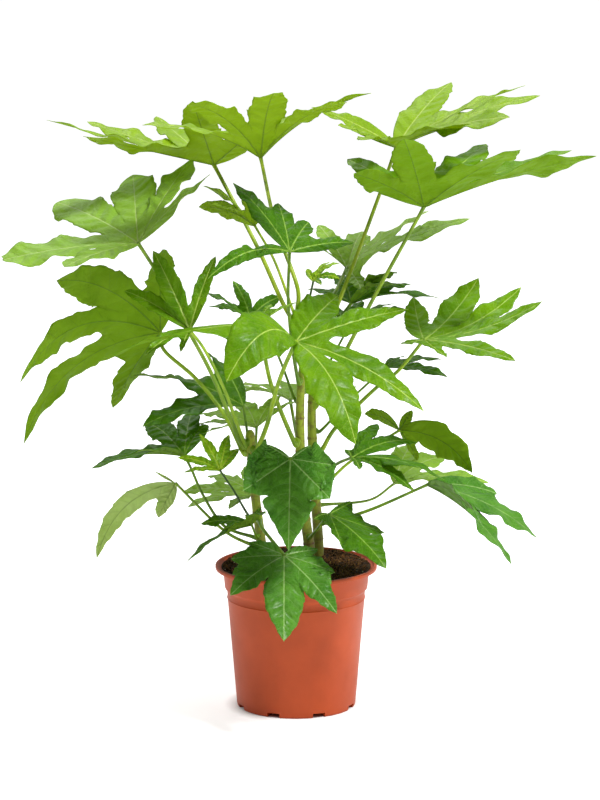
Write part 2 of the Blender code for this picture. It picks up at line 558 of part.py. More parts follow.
def build_soil(collection):
    """The soil that fills the pot, with a plain hole for each stem."""
    profile = SOIL_TOP + SOIL_SIDE + ((0.0, SOIL_BOTTOM),)
    soil = turned("soil", profile, SOIL_STEPS, collection)
    for name, (line, radii) in STEMS.items():
        x, y, _ = line[0]
        depth = STEM_HOLE_TOP - STEM_HOLE_FLOOR
        bpy.ops.mesh.primitive_cylinder_add(
            vertices=STEM_HOLE_SIDES, radius=(radii[0] + 2 * GAP) * MM, depth=depth * MM,
            location=(x * MM, y * MM, (STEM_HOLE_FLOOR + depth / 2) * MM))
        cutter = bpy.context.object
        cutter.name = name + "_hole_cutter"
        combine(soil, cutter, "DIFFERENCE")
    weld(soil)
    soil.data.materials.append(new_material("peat_soil", SOIL_BROWN, 0.95))


def build_stem(name, collection):
    """A stem, from the floor of its hole in the soil to its rounded top bud."""
    line, radii = STEMS[name]
    x, y, _ = line[0]
    root = (x, y, STEM_HOLE_FLOOR + 2 * GAP)
    stem = tube(name, [root, *line[1:]], radii, STEM_RESOLUTION, collection)
    stem.data.materials.append(new_material(name + "_bark", BARK_GREEN, 0.7))


def main():
    for item in list(bpy.data.objects):
        bpy.data.objects.remove(item)
    collection = new_collection("potted_fatsia")
    cutters = new_collection("cutters")
    build_pot(collection)
    build_soil(collection)
    for name in STEMS:
        build_stem(name, collection)
    for leaf in LEAVES:
        build_leaf(leaf, collection)
    bpy.data.collections.remove(cutters)


main()
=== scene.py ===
"""Potted fatsia, dressed: fine leaves, stems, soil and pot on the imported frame."""

import math

import bmesh
import bpy
import numpy as np
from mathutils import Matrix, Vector


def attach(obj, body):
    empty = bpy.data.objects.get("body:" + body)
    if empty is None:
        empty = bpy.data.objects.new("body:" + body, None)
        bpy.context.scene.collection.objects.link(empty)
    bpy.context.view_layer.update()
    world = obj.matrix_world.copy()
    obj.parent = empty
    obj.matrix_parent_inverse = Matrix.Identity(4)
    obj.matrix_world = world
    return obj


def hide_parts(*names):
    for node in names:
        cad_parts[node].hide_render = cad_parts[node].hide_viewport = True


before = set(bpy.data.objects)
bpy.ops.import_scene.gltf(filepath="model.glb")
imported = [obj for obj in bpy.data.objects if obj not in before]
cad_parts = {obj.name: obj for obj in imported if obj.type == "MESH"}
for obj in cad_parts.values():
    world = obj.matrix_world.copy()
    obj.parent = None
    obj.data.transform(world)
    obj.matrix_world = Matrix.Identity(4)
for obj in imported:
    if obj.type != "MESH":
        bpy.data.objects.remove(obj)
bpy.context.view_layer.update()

bl_info = {
    "name": "Potted fatsia",
    "version": (1, 0, 0),
    "blender": (4, 5, 0),
    "location": "View3D > Sidebar > Fatsia",
    "description": "Builds a potted fatsia with lobed, veined leaves over a packed frame",
    "category": "Object",
}

MM = 0.001

# Stems: centre line in millimetres from the soil up, and radius at each point
STEMS = {
    "left": (((-44, -20, 120), (-44, -20, 178), (-44, -20, 210), (-52, -20, 276),
              (-57, -20, 335), (-59, -20, 359), (-59, -20, 364), (-59, -20, 368)),
             (6.2, 6.4, 6.2, 5.8, 6.2, 6.2, 5.2, 2.4)),
    "centre": (((17, 10, 120), (17, 10, 178), (17, 10, 206), (9, 10, 270), (5, 10, 349),
                (6, 10, 415), (11, 10, 480), (9, 10, 526), (9, 10, 530), (9, 10, 533)),
               (6.8, 7.0, 6.8, 6.3, 6.0, 5.0, 4.0, 3.2, 2.6, 1.2)),
    "right": (((29, 40, 120), (29, 40, 178), (29, 40, 209), (21, 40, 343), (21, 40, 409),
               (26, 40, 475), (33, 40, 521), (33, 40, 525), (33, 40, 528)),
              (6.4, 6.6, 6.4, 6.0, 5.0, 4.0, 3.2, 2.6, 1.2)),
}

# Shape of a lobe, where it is widest, its arch, and the turn past which two lobes have no web
LOBE_SHAPE = (0.18, 0.34, 0.09, 0.62)
LOBE_PEAK = 0.5
LOBE_ARCH = 0.08
OPEN_TURN = 68.0


def row(name, at, facing, length, lobes, stalk, **own):
    """A leaf, in millimetres and degrees. At is where the stalk meets the blade. Facing is heading,
    pitch and roll of the middle lobe (heading 0 is the right side, 90 the back). A lobe is its turn
    from the middle one, its reach as a part of length, its rise, and where it has its own, arch and
    breadth. A stalk is its stem, the height on it, points on the way, and radius at stem and blade.
    Its own shape is the width of a lobe, the depth of the cuts, the width of its neck, and how far
    a cut may start out along the shorter neighbour. Its own peak is where a lobe is widest, as a
    part of the way from cut to tip, and fold is how steeply the halves of a lobe rise."""
    return dict(name=name, at=at, facing=facing, length=length, lobes=lobes, stalk=stalk, **own)


LEAVES = (
    row("top_left", (-107, 100, 696), (180, 10, 10), 220, ((-114, 0.42, 36), (-61, 0.87, 18),
        (-34, 0.98, 9), (1, 1.02, 5), (38, 0.97, 0), (76, 0.8, 22), (114, 0.6, 24)), ("centre", 493,
        ((-18, 40, 525), (-52, 62, 597)), 3.0, 2.4), arch=0.0),
    row("top_centre", (-44, -85, 727), (-88, 10, 5), 185, ((-140, 0.65, 42), (-74, 0.85, 19),
        (-30, 0.97, 21), (6, 1.0, 21), (38, 0.97, 16), (77, 0.87, 24), (148, 0.65, 29)), ("centre", 519,
        ((1, 18, 550), (-27, 40, 627)), 2.8, 2.2), shape=(0.19, 0.32, 0.09, 0.6), peak=0.6),
    row("top_right", (129, 70, 722), (-5, 8, 10), 200, ((-141, 0.5, 33), (-106, 0.66, 22), (-50, 0.87, 18),
        (-34, 0.97, 15), (-1, 0.99, 13), (28, 0.99, 10), (64, 0.86, 12), (169, 0.61, 31)), ("right", 482,
        ((70, 50, 562), (111, 64, 671)), 2.8, 2.2), arch=0.04),
    row("right_upper", (161, -60, 662), (-15, 0, -18), 230, ((-113, 0.66, 5), (-86, 0.86, 14),
        (-46, 0.96, 12), (-2, 0.99, 18), (36, 0.97, 27), (76, 0.87, 35), (151, 0.68, 27)), ("right", 396,
        ((98, -20, 538),), 2.8, 2.2), arch=0.03),
    row("left_upper", (-199, -60, 616), (125, 5, -20), 190, ((-107, 0.66, 26), (-64, 0.86, 14),
        (-33, 0.97, 6), (0, 1.0, 5), (42, 0.97, 2), (67, 0.91, 11), (102, 0.67, 13)), ("left", 352,
        ((-107, -34, 442), (-141, -43, 509), (-174, -53, 574)), 2.8, 2.2), shape=(0.27, 0.32, 0.1, 0.6),
        peak=0.64, arch=0.03),
    row("left_broad", (-176, 40, 485), (-145, 10, 60), 240, ((-97, 0.69, 15, 0.04, 1.05),
        (-53, 0.95, -5, 0.16, 0.9), (-12, 0.99, -17, 0.18, 0.8), (22, 0.96, -8, 0.1, 1.0),
        (68, 0.55, 4, 0.06, 1.5)), ("left", 339, ((-92, -2, 384), (-129, 16, 428), (-170, 32, 462)), 2.9,
        2.3), shape=(0.17, 0.32, 0.08, 0.6), arch=0.1),
    row("left_glossy", (-133, -105, 512), (160, 15, -40), 125, ((-84, 0.84, 16, 0.05),
        (-41, 0.95, 16, 0.03, 1.35), (-18, 0.94, -8, 0.05), (70, 0.62, 15), (102, 0.37, 15)), ("left", 355,
        ((-92, -59, 430), (-115, -88, 484)), 2.4, 1.8), shape=(0.115, 0.26, 0.06, 0.66), fold=0.55),
    row("left_reaching", (-46, -132, 524), (196, -20, 30), 225, ((-164, 0.28, 11), (-132, 0.25, 30),
        (-82, 0.24, 30), (8, 0.96, 7, 0.06, 1.15), (35, 0.41, -36)), ("centre", 349,
        ((-31, -34, 427), (-42, -105, 497)), 3.0, 2.4), shape=(0.1, 0.3, 0.06, 0.66), arch=0.06),
    row("front_large", (0, -150, 505), (-45, -50, 15), 175, ((-76, 0.78, 10, 0.3, 1.5),
        (-6, 0.97, 12, 0.14, 1.2), (33, 1.04, 9, 0.08, 0.8), (85, 0.89, 10, 0.03, 0.95),
        (117, 0.68, -12, 0.05, 1.4)), ("left", 344, ((-37, -51, 381), (-24, -94, 437), (-12, -125, 475)),
        3.2, 2.6), shape=(0.21, 0.25, 0.05, 0.5), peak=0.42, arch=0.04),
    row("crown", (-8, -95, 610), (145, 55, -15), 130, ((-104, 0.69, 13, 0.05, 0.9),
        (-63, 0.58, -12, 0.08, 1.25), (-34, 0.74, -20, 0.05, 1.25), (-3, 0.98, -18, 0.05, 1.05),
        (78, 0.5, -2, 0.1, 0.7), (87, 0.94, -10, 0.16, 0.55)), ("centre", 428,
        ((-5, -19, 479), (-10, -56, 543)), 2.4, 1.8)),
    row("crown_back", (-53, 40, 624), (182, 10, 20), 100, ((-38, 0.97, 15), (-27, 0.95, 31), (39, 0.85, 4),
        (76, 0.86, 15)), ("centre", 509, ((-27, 12, 581),), 2.0, 1.5)),
    row("back_right", (67, 150, 553), (0, 0, 0), 165, ((-155, 0.34, 35), (-74, 0.43, -16), (-42, 0.97, 24),
        (0, 1.06, 22), (41, 0.97, 23), (81, 0.86, 12), (112, 0.66, 24)), ("right", 514, ((51, 91, 530),),
        2.4, 2.2), arch=0.04),
    row("right_inner", (72, 85, 516), (20, 5, 0), 125, ((-76, 0.86, 20), (-75, 0.95, 26), (-1, 0.99, -5),
        (13, 0.77, 5), (76, 0.86, 10), (114, 0.66, 8)), ("right", 459, ((51, 65, 491),), 2.2, 2.0)),
    row("right_bright", (164, -10, 484), (-7, -12, 15), 170, ((-118, 0.32, 10, 0, 0.8),
        (-60, 0.42, 10, 0, 0.8), (-37, 0.94, 16, 0.03, 0.7), (4, 0.95, 32, -0.06, 0.95),
        (48, 0.96, 18, -0.08, 0.95), (70, 0.84, 18, -0.06, 1.25), (106, 0.66, 3, -0.06, 1.15)), ("right",
        331, ((52, 30, 362), (102, 12, 416), (132, 2, 442)), 2.8, 2.0), shape=(0.17, 0.28, 0.07, 0.6),
        arch=-0.06),
    row("behind_front", (116, 60, 435), (-10, -5, 0), 85, ((-14, 1.03, 1), (25, 0.9, 10), (70, 0.6, 10)),
        ("right", 356, ((70, 50, 394),), 1.8, 1.3)),
    row("right_low_pale", (135, 50, 354), (-25, -25, -60), 105, ((-80, 0.34, 20, 0.0, 1.0),
        (0, 1.08, 0, 0.14, 1.15), (40, 0.45, -5, 0.05, 0.8), (160, 0.61, 10, 0.1, 0.9)), ("right", 283,
        ((70, 44, 313), (120, 48, 345)), 2.2, 1.6), shape=(0.24, 0.42, 0.14, 0.66)),
    row("right_dark", (71, -60, 340), (-30, -35, -10), 135, ((-46, 0.28, 6), (-14, 0.77, 16, 0.08, 0.72),
        (-5, 0.99, 28, 0.08, 0.82), (80, 0.95, 17, 0.08, 0.62), (107, 0.56, 30, 0.08, 0.9),
        (128, 0.25, -9)), ("right", 296, ((53, -21, 324),), 2.4, 1.8), shape=(0.2, 0.34, 0.1, 0.6)),
    row("right_drooping", (169, -15, 295), (-50, -55, -20), 160, ((-34, 0.97, 34, 0.1, 0.8),
        (1, 1.0, 24, 0.08, 1.1), (38, 0.99, 27, 0.08, 1.15), (77, 0.75, 15, 0.05, 0.9)), ("right", 234,
        ((95, 15, 255),), 2.4, 1.8), shape=(0.18, 0.42, 0.12, 0.7), arch=0.06),
    row("right_back_low", (129, 90, 274), (0, -10, 0), 130, ((-63, 0.4, 5), (2, 0.97, 10), (55, 0.96, 13),
        (79, 0.86, 18)), ("right", 256, ((96, 72, 256),), 2.0, 1.5)),
    row("front_right_low", (42, -90, 273), (-30, -35, 5), 105, ((-95, 0.3, 0), (-36, 0.61, 0, 0.03),
        (-10, 1.06, 5, 0.06, 1.05), (36, 0.73, 5, 0.0), (92, 0.55, 0, 0.0)), ("centre", 223, (), 2.2, 1.6),
        shape=(0.1, 0.62, 0.27, 0.8)),
    row("front_dark", (-7, -150, 357), (-92, -60, 0), 117, ((-120, 0.3, 6, 0.0, 1.9),
        (-90, 0.45, 6, 0.0, 1.6), (-68, 0.53, 6, 0.0, 1.4), (-52, 0.63, 6, 0.0, 1.1), (0, 1.03, 0, 0.05),
        (43, 0.64, 6, 0.0, 1.1), (62, 0.54, 6, 0.0, 1.2), (80, 0.51, 6, 0.0, 1.5),
        (124, 0.26, 6, 0.0, 1.9)), ("centre", 254, (), 2.6, 2.0), shape=(0.06, 0.62, 0.3, 0.88), fold=0.2),
    row("over_rim", (-15, -110, 224), (-90, -40, 0), 125, ((-122, 0.43, -10, 0.02), (-89, 0.54, -5, 0.02),
        (-67, 0.57, -3, 0.02, 0.9), (-47, 0.74, 0, 0.05, 0.85), (0, 1.07, 0, 0.05, 0.88),
        (36, 0.9, 0, 0.05, 0.68), (56, 0.58, -5, 0.02, 0.9), (74, 0.54, -10, 0.02), (110, 0.37, -10, 0.02)),
        ("left", 250, ((-42, -60, 246),), 2.4, 2.1), shape=(0.25, 0.36, 0.18, 0.66)),
    row("left_low_front", (-57, -50, 250), (215, -25, 15), 105, ((-159, 0.32, 16), (-56, 0.68, 22),
        (0, 1.0, 5), (18, 0.51, 22), (76, 0.86, 15)), ("left", 230, (), 1.8, 1.3)),
    row("left_drooping", (-155, -20, 298), (180, -44, 75), 140, ((-20, 0.37, 0, 0.02, 1.8),
        (0, 1.02, 0, 0.18, 0.9), (75, 0.22, 10, 0.0, 0.5)), ("left", 217, ((-96, -20, 238),), 2.2, 1.6),
        shape=(0.13, 0.3, 0.08, 0.66)),
    row("left_dark", (-145, 20, 326), (150, -20, -8), 130, ((-88, 0.65, 12), (-75, 0.86, 21),
        (-40, 0.97, 21), (3, 1.0, 11), (43, 0.95, 15), (76, 0.86, 20)), ("left", 226,
        ((-94, 12, 235), (-121, 16, 275), (-136, 18, 309)), 2.2, 1.6)),
    row("young_left", (-97, -50, 321), (125, 25, -17), 62, ((-58, 0.84, -4), (-42, 0.97, 10), (-4, 1.0, 15),
        (39, 0.95, 5), (84, 0.85, 18)), ("left", 256, ((-80, -37, 292),), 1.6, 1.2), shape=(0.15, 0.3, 0.08,
        0.6), peak=0.45),
    row("left_middle", (-69, 60, 384), (180, -5, 50), 150, ((-2, 0.77, 65), (8, 1.0, 20), (17, 0.97, -21)),
        ("left", 322, ((-64, 27, 359),), 2.0, 1.5), shape=(0.2, 0.42, 0.12, 0.66)),
    row("back_left", (-60, 70, 499), (130, 15, 0), 75, ((-76, 0.86, 15), (-8, 0.83, 29), (16, 0.76, -3),
        (38, 0.97, 15), (76, 0.86, 15)), ("centre", 402, ((-27, 45, 461),), 1.8, 1.3)),
    row("young_centre", (22, 12, 556), (-10, 20, 20), 44, ((-60, 0.6, 5, 0.15), (-26, 0.95, 0, 0.15),
        (12, 0.95, 12, 0.15), (46, 0.85, 10, 0.15), (108, 0.7, 10, 0.1)), ("centre", 523, ((17, 13, 531),),
        1.6, 1.2)),
    row("back_centre", (-8, 120, 381), (90, -10, 0), 110, ((-110, 0.66, 10), (-75, 0.86, 10),
        (-38, 0.97, 10), (0, 1.0, 10), (38, 0.97, 10), (75, 0.86, 10), (110, 0.66, 10)), ("centre", 330, (),
        2.2, 2.0)),
    row("back_pale", (-52, 75, 353), (135, -10, -10), 105, ((-105, 0.66, 12), (-70, 0.86, 12),
        (-35, 0.97, 12), (0, 1.0, 12), (38, 0.97, 12), (80, 0.8, 12)), ("left", 300, (), 2.2, 1.6)),
    row("back_low", (-54, 85, 259), (165, -10, -10), 100, ((-105, 0.66, 10), (-70, 0.86, 10),
        (-35, 0.97, 10), (0, 1.0, 10), (38, 0.97, 10), (80, 0.8, 10)), ("left", 235, (), 2.0, 1.5)),
    row("back_inner", (70, 90, 486), (40, 0, 0), 80, ((-105, 0.66, 15), (-70, 0.86, 15), (-35, 0.97, 15),
        (0, 1.0, 15), (38, 0.97, 15), (80, 0.8, 15)), ("right", 420, (), 1.8, 1.3)),
)

# Which green each leaf has: young ones are yellow-green, old low ones dark, the rest mid
TONES = {
    "young": ("top_centre", "top_left", "top_right", "crown_back"),
    "fresh": ("left_broad", "front_large", "left_reaching", "right_upper",
              "right_bright", "left_glossy", "right_low_pale"),
    "pale": ("left_drooping", "back_pale", "back_right", "back_low",
             "back_centre", "left_upper", "right_back_low"),
    "dark": ("front_dark", "over_rim", "right_drooping"),
    "mottled": ("young_left", "young_centre"),
}

# Each tone's blade, shade, vein and let-through colours, roughness, gloss and glow
UPPER = {
    "young": (("#8cae26", "#769c18", "#bfd068", "#c4dc20"), 0.42, 0.10, 0.42),
    "fresh": (("#68940a", "#4a7c06", "#b8d060", "#a8c808"), 0.38, 0.10, 0.34),
    "mid": (("#46780a", "#316204", "#94b848", "#90b808"), 0.38, 0.07, 0.28),
    "pale": (("#8cb444", "#749c34", "#bccf7c", "#b8d438"), 0.42, 0.09, 0.36),
    "dark": (("#568f2a", "#3a741a", "#9abc6c", "#8cb40c"), 0.40, 0.11, 0.24),
    "mottled": (("#3f7c0c", "#9cc414", "#b4c83c", "#a8d010"), 0.40, 0.12, 0.30),
}
# Below, the vein colour is mostly darker than the blade: painted shade of the light that the thick ribs keep
# back.
UNDER = {
    "young": (("#8aa428", "#76921a", "#5e7a1c", "#c0d81c"), 0.54, 0.0, 0.53),
    "fresh": (("#86a626", "#709018", "#587a1c", "#b8dc0c"), 0.54, 0.0, 0.52),
    "mid": (("#7c9c34", "#648420", "#54741e", "#a8d408"), 0.54, 0.0, 0.46),
    "pale": (("#b9cc84", "#a8bd6e", "#7c9648", "#cce858"), 0.56, 0.0, 0.45),
    "dark": (("#6a9040", "#5a8030", "#648048", "#90bc10"), 0.54, 0.0, 0.32),
    "mottled": (("#6f942c", "#a0b83c", "#7c9838", "#a8d010"), 0.50, 0.0, 0.40),
}
STALKS = {
    "young": ("#93a822", "#708c14"),
    "fresh": ("#8caa1e", "#688a12"),
    "mid": ("#6c9018", "#4a6e10"),
    "pale": ("#7f9c24", "#608418"),
    "dark": ("#6c8e1c", "#4c7010"),
    "mottled": ("#3c5c14", "#2c480e"),
}

# Fineness of a blade: rows up to a lobe's cut and past it, and columns out to its margin, which are
# packed closer at the rib. A leaf of this length or more is large.
WEB_ROWS = 10
LOBE_ROWS = {"large": 54, "small": 36}
BLADE_COLUMNS = {"large": 10, "small": 8}
COLUMN_PACKING = 1.6
LARGE_LEAF = 165

# Least and most waves along a margin
WAVE_COUNTS = (2.0, 3.6)

# Veins on one side of a rib: their number, their slant at the rib and their bend to the tip
SIDE_VEINS = 7
VEIN_SLANT = 0.65
VEIN_BEND = 1.8

# In millimetres: thickness of a blade, half width of a rib and how far it sinks above as a part of
# what stands out below, the shortest lobe that swells in full, how far the veins of a swelling of
# the margin keep off its rib, and the distance at which points are one
BLADE_THICKNESS = 0.45
RIB_WIDTH = 1.9
RIB_SUNK = 0.35
FULL_PUFF_LOBE = 130
SWELLING_OFF_RIB = 2.4
WELD = 0.01

# A lobe shorter than this part of its leaf, between neighbours this near, is only a swelling
MINOR_REACH = 0.6
MINOR_TURN = 31

# Stalk: how deep its foot sits in the stem, its straight start, and its end past the blade's foot
STALK_SUNK = 1.2
STALK_STRAIGHT = 6.6
STALK_PAST_BLADE = 1.0
STALK_SIDES = 14

# Stem: lowest scar, least and most way to the next, half height of a scar and its swell
STEM_SIDES = 24
FIRST_SCAR = 212.0
SCAR_GAPS = (14, 52)
SCAR_HEIGHT = 1.5
SCAR_SWELL = 0.10

# Pot: radius and height of each corner of its wall, outside and then inside, steps round it, the
# angle past which an edge is sharp, and the notches in its foot ring
POT_OUTSIDE = (
    (101.5, 187.0), (103.4, 187.0), (104.6, 186.7), (105.0, 186.0), (105.0, 182.9), (104.7, 182.1),
    (104.0, 181.8), (97.0, 181.0), (95.6, 180.2), (94.8, 178.0), (92.9, 158.0), (92.4, 156.6),
    (90.9, 155.2), (90.0, 154.0), (89.6, 152.0), (89.3, 145.0), (89.6, 144.3), (90.0, 143.5),
    (89.6, 142.8), (89.15, 142.0), (77.5, 3.0), (77.1, 1.2), (76.0, 0.0), (62.0, 0.0), (60.0, 6.0),
    (26.0, 6.0), (25.0, 0.0), (0.01, 0.0),
)
POT_INSIDE = (
    (0.01, 2.5), (24.0, 2.5), (27.0, 8.5), (73.0, 8.5), (75.5, 11.0), (87.2, 152.0), (90.5, 156.0),
    (92.5, 181.0), (93.5, 182.6), (98.0, 183.5), (100.6, 185.2), (101.0, 186.4),
)
POT_STEPS = 192
SHARP_EDGE = 40
NOTCH_COUNT = 8
NOTCH_PLACE = 70.5
NOTCH_BLOCK = (27.0, 17.0, 12.0)

# Soil: radius and height of its smooth top, and of its side from the top down, how far out its
# relief goes, its fineness, and how closely and how high each set of its waves is
SOIL_TOP = ((0.0, 187.0), (45.0, 186.4), (80.0, 185.6), (95.0, 184.9), (97.2, 184.1))
SOIL_SIDE = ((97.2, 184.0), (91.8, 181.5), (91.2, 179.0), (89.8, 156.3), (86.7, 152.0),
             (74.9, 11.5), (72.5, 9.2), (0.5, 9.2))
SOIL_EDGE = 97.0
SOIL_RINGS = 90
SOIL_STEPS = 260
SOIL_WAVES = ((0.06, 1.2), (0.2, 1.2), (0.6, 1.5), (1.2, 1.5))

# Stage: white, the floor's grey, the camera's offset to the right, where the lamps aim, and each
# lamp's name, place and side in metres, and power in watts
WHITE = (1.0, 1.0, 1.0, 1.0)
FLOOR_GREY = (0.75, 0.75, 0.75, 1.0)
CAMERA_SIDE = 0.005
LAMP_AIM = Vector((0.0, 0.0, 0.45))
LAMPS = (
    ("key", (1.5, -1.5, 3.4), 0.7, 170.0),
    ("side", (3.0, -1.0, 0.9), 1.2, 20.0),
    ("fill", (-2.6, -1.2, 2.2), 2.0, 4.0),
    ("back", (-0.6, 2.4, 3.2), 2.4, 60.0),
)


class PotSettings(bpy.types.PropertyGroup):
    colour: bpy.props.FloatVectorProperty(
        name="Pot colour", description="Terracotta colour of the plastic, as sRGB",
        default=(0.69, 0.27, 0.085), subtype="COLOR_GAMMA", size=3)


class LeafSettings(bpy.types.PropertyGroup):
    tooth: bpy.props.FloatProperty(
        name="Tooth depth", description="Depth of a tooth as a part of the lobe's length",
        default=0.013)
    wave: bpy.props.FloatProperty(
        name="Edge wave", description="Height of the margin's waves as a part of its half width",
        default=0.15)
    fold: bpy.props.FloatProperty(
        name="Fold", description="Rise of a lobe's margin over its rib, as a part of half width",
        default=0.03)
    puff: bpy.props.FloatProperty(
        name="Puff", description="Swell of the blade between side veins, in millimetres",
        default=1.7)
    twist: bpy.props.FloatProperty(
        name="Twist", description="Most that a lobe turns about its rib toward the tip, as a slope",
        default=0.45)


class StageSettings(bpy.types.PropertyGroup):
    camera_distance: bpy.props.FloatProperty(
        name="Camera distance", description="Distance of the camera in front of the pot",
        default=4.5, unit="LENGTH")
    camera_height: bpy.props.FloatProperty(
        name="Camera height", description="Height of the camera over the floor",
        default=1.2496, unit="LENGTH")
    camera_tilt: bpy.props.FloatProperty(
        name="Camera tilt", description="How far the camera looks down",
        default=math.radians(10.649), subtype="ANGLE")
    focal_length: bpy.props.FloatProperty(
        name="Focal length", description="Focal length in millimetres on a 36 mm frame height",
        default=160.0)


def unit(vector):
    return vector / np.maximum(np.linalg.norm(vector, axis=-1, keepdims=True), 1e-12)


def linear(colour, part=1.0):
    """Linear red, green, blue and alpha of an sRGB hex colour or of three sRGB parts, times a part."""
    if isinstance(colour, str):
        colour = [int(colour[k:k + 2], 16) / 255.0 for k in (1, 3, 5)]
    parts = np.array(colour)
    light = np.where(parts <= 0.04045, parts / 12.92, ((parts + 0.055) / 1.055) ** 2.4)
    return (*light * part, 1.0)


def smoothstep(low, high, x):
    t = np.clip((x - low) / (high - low), 0, 1)
    return t * t * (3 - 2 * t)


def add_node(tree, kind, settings):
    """Add a shader node. Each setting is a property of the node or one of its inputs. A node or a
    socket as its value is linked in, and a node means its first output."""
    node = tree.nodes.new("ShaderNode" + kind)
    for key, value in settings.items():
        if isinstance(value, bpy.types.Node):
            value = value.outputs[0]
        if isinstance(value, bpy.types.NodeSocket):
            tree.links.new(value, node.inputs[key])
        elif isinstance(key, int) or key in node.inputs:
            node.inputs[key].default_value = value
        else:
            setattr(node, key, value)
    return node


def new_material(name):
    """An empty material, its node tree, and the place of each point on the object."""
    material = bpy.data.materials.new(name)
    material.use_nodes = True
    tree = material.node_tree
    tree.nodes.clear()
    return material, tree, add_node(tree, "TexCoord", {}).outputs["Object"]


def mesh_piece(name, verts, faces, materials, slots=None, uv=None, values=None):
    """A smooth triangle mesh in metres from arrays: corners, faces, a slot for each face, UV for
    each corner of each face, and named values for each vertex."""
    mesh = bpy.data.meshes.new(name)
    mesh.vertices.add(len(verts))
    mesh.vertices.foreach_set("co", np.asarray(verts, np.float32).ravel())
    mesh.loops.add(faces.size)
    mesh.loops.foreach_set("vertex_index", faces.astype(np.int32).ravel())
    mesh.polygons.add(len(faces))
    mesh.polygons.foreach_set("loop_start", np.arange(0, faces.size, 3, dtype=np.int32))
    for material in materials:
        mesh.materials.append(material)
    if slots is not None:
        mesh.polygons.foreach_set("material_index", slots.astype(np.int32))
    mesh.polygons.foreach_set("use_smooth", np.ones(len(faces), bool))
    if uv is not None:
        layer = mesh.uv_layers.new(name="blade")
        layer.data.foreach_set("uv", np.asarray(uv, np.float32).ravel())
    for key, data in (values or {}).items():
        attribute = mesh.attributes.new(key, "FLOAT", "POINT")
        attribute.data.foreach_set("value", np.asarray(data, np.float32))
    mesh.update()
    mesh.validate()
    item = bpy.data.objects.new(name, mesh)
    bpy.context.scene.collection.objects.link(item)
    return item


def place_on_frame(item, node):
    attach(item, "root")
    if node:
        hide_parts(node)


def leaf_axes(heading, pitch, roll):
    """Forward, left and up of a leaf from its heading, pitch and roll."""
    h, p, r = np.radians((heading, pitch, roll))
    forward = np.array((np.cos(p) * np.cos(h), np.cos(p) * np.sin(h), np.sin(p)))
    level = np.array((-np.sin(h), np.cos(h), 0.0))
    top = np.cross(forward, level)
    left = np.cos(r) * level + np.sin(r) * top
    return forward, left, np.cos(r) * top - np.sin(r) * level


def leaf_ribs(leaf):
    """One rib per lobe: its vector, the side its blade spreads to and the way it bows."""
    forward, left, up = leaf_axes(*leaf["facing"])
    ribs = []
    for lobe in leaf["lobes"]:
        turn, rise = np.radians((lobe[0], lobe[2]))
        flat = np.cos(turn) * forward + np.sin(turn) * left
        along = np.cos(rise) * flat + np.sin(rise) * up
        side = -np.sin(turn) * forward + np.cos(turn) * left
        side = unit(side - (side @ along) * along)
        bow = np.array((0.0, 0.0, 1.0)) + 0.5 * np.cross(along, side)
        bow = bow - (bow @ along) * along
        bow = bow / max(1.0, np.linalg.norm(bow))
        arch = lobe[3] if len(lobe) > 3 else leaf.get("arch", LOBE_ARCH)
        broad = lobe[4] if len(lobe) > 4 else 1.0
        size = lobe[1] * leaf["length"]
        ribs.append(dict(along=along, size=size, side=side, bow=bow * size * arch, turn=lobe[0],
                         broad=broad))
    for i, rib in enumerate(ribs):
        before = ribs[max(i - 1, 0)]["along"]
        after = ribs[min(i + 1, len(ribs) - 1)]["along"]
        spread = after - before
        spread = spread - (spread @ rib["along"]) * rib["along"]
        if np.linalg.norm(spread) > 0.2 and unit(spread) @ rib["side"] > -0.3:
            rib["spread"] = unit(0.6 * rib["side"] + unit(spread))
        else:
            rib["spread"] = rib["side"]
    return ribs


def rib_point(origin, rib, s):
    """Points on a rib, s from 0 at the stalk to 1 at the tip: a straight line that bows."""
    s = np.asarray(s, float)[..., None]
    return origin + rib["along"] * rib["size"] * s + rib["bow"] * 4 * s * (1 - s)


def rib_side(rib, s, hand):
    """Direction across a rib at s, in the blade, to its left (hand 1) or right (hand -1)."""
    s = np.asarray(s, float)[..., None]
    tangent = unit(rib["along"] * rib["size"] + rib["bow"] * 4 * (1 - 2 * s))
    normal = unit(np.cross(tangent, rib["spread"]))
    return unit(np.cross(normal, tangent)) * hand


def lobe_width(t, at_cut, wide, neck, peak):
    """Half width of a lobe from its cut (t 0) to its tip (t 1): the neck tapers as
    (1 - t)^1.3, the body swells as t^p (1 - t)^q with p + q = 2.05 and is widest at the peak,
    and the width of the cut itself fades out over the first 0.12 of the lobe."""
    p, q = 2.05 * peak, 2.05 * (1 - peak)
    body = t**p * (1 - t) ** q / (peak**p * (1 - peak) ** q)
    fade = np.clip(1 - t / 0.12, 0, 1) ** 2
    return neck * (1 - t) ** 1.3 + 0.46 * wide * body + (at_cut - neck) * fade


def teeth(s):
    """Forward-pointing teeth along a margin, 0 to 1: a slow rise and a sudden drop, none near the
    foot and the very tip, and larger ones between small ones."""
    beat = (s * SIDE_VEINS) % 1.0
    saw = np.where(beat < 0.8, beat / 0.8, (1 - beat) / 0.2)
    beat = (s * SIDE_VEINS * 2.7 + 0.3) % 1.0
    small = np.where(beat < 0.7, beat / 0.7, (1 - beat) / 0.3)
    return (saw + 0.35 * small) * smoothstep(0.25, 0.45, s) * smoothstep(1.0, 0.9, s)


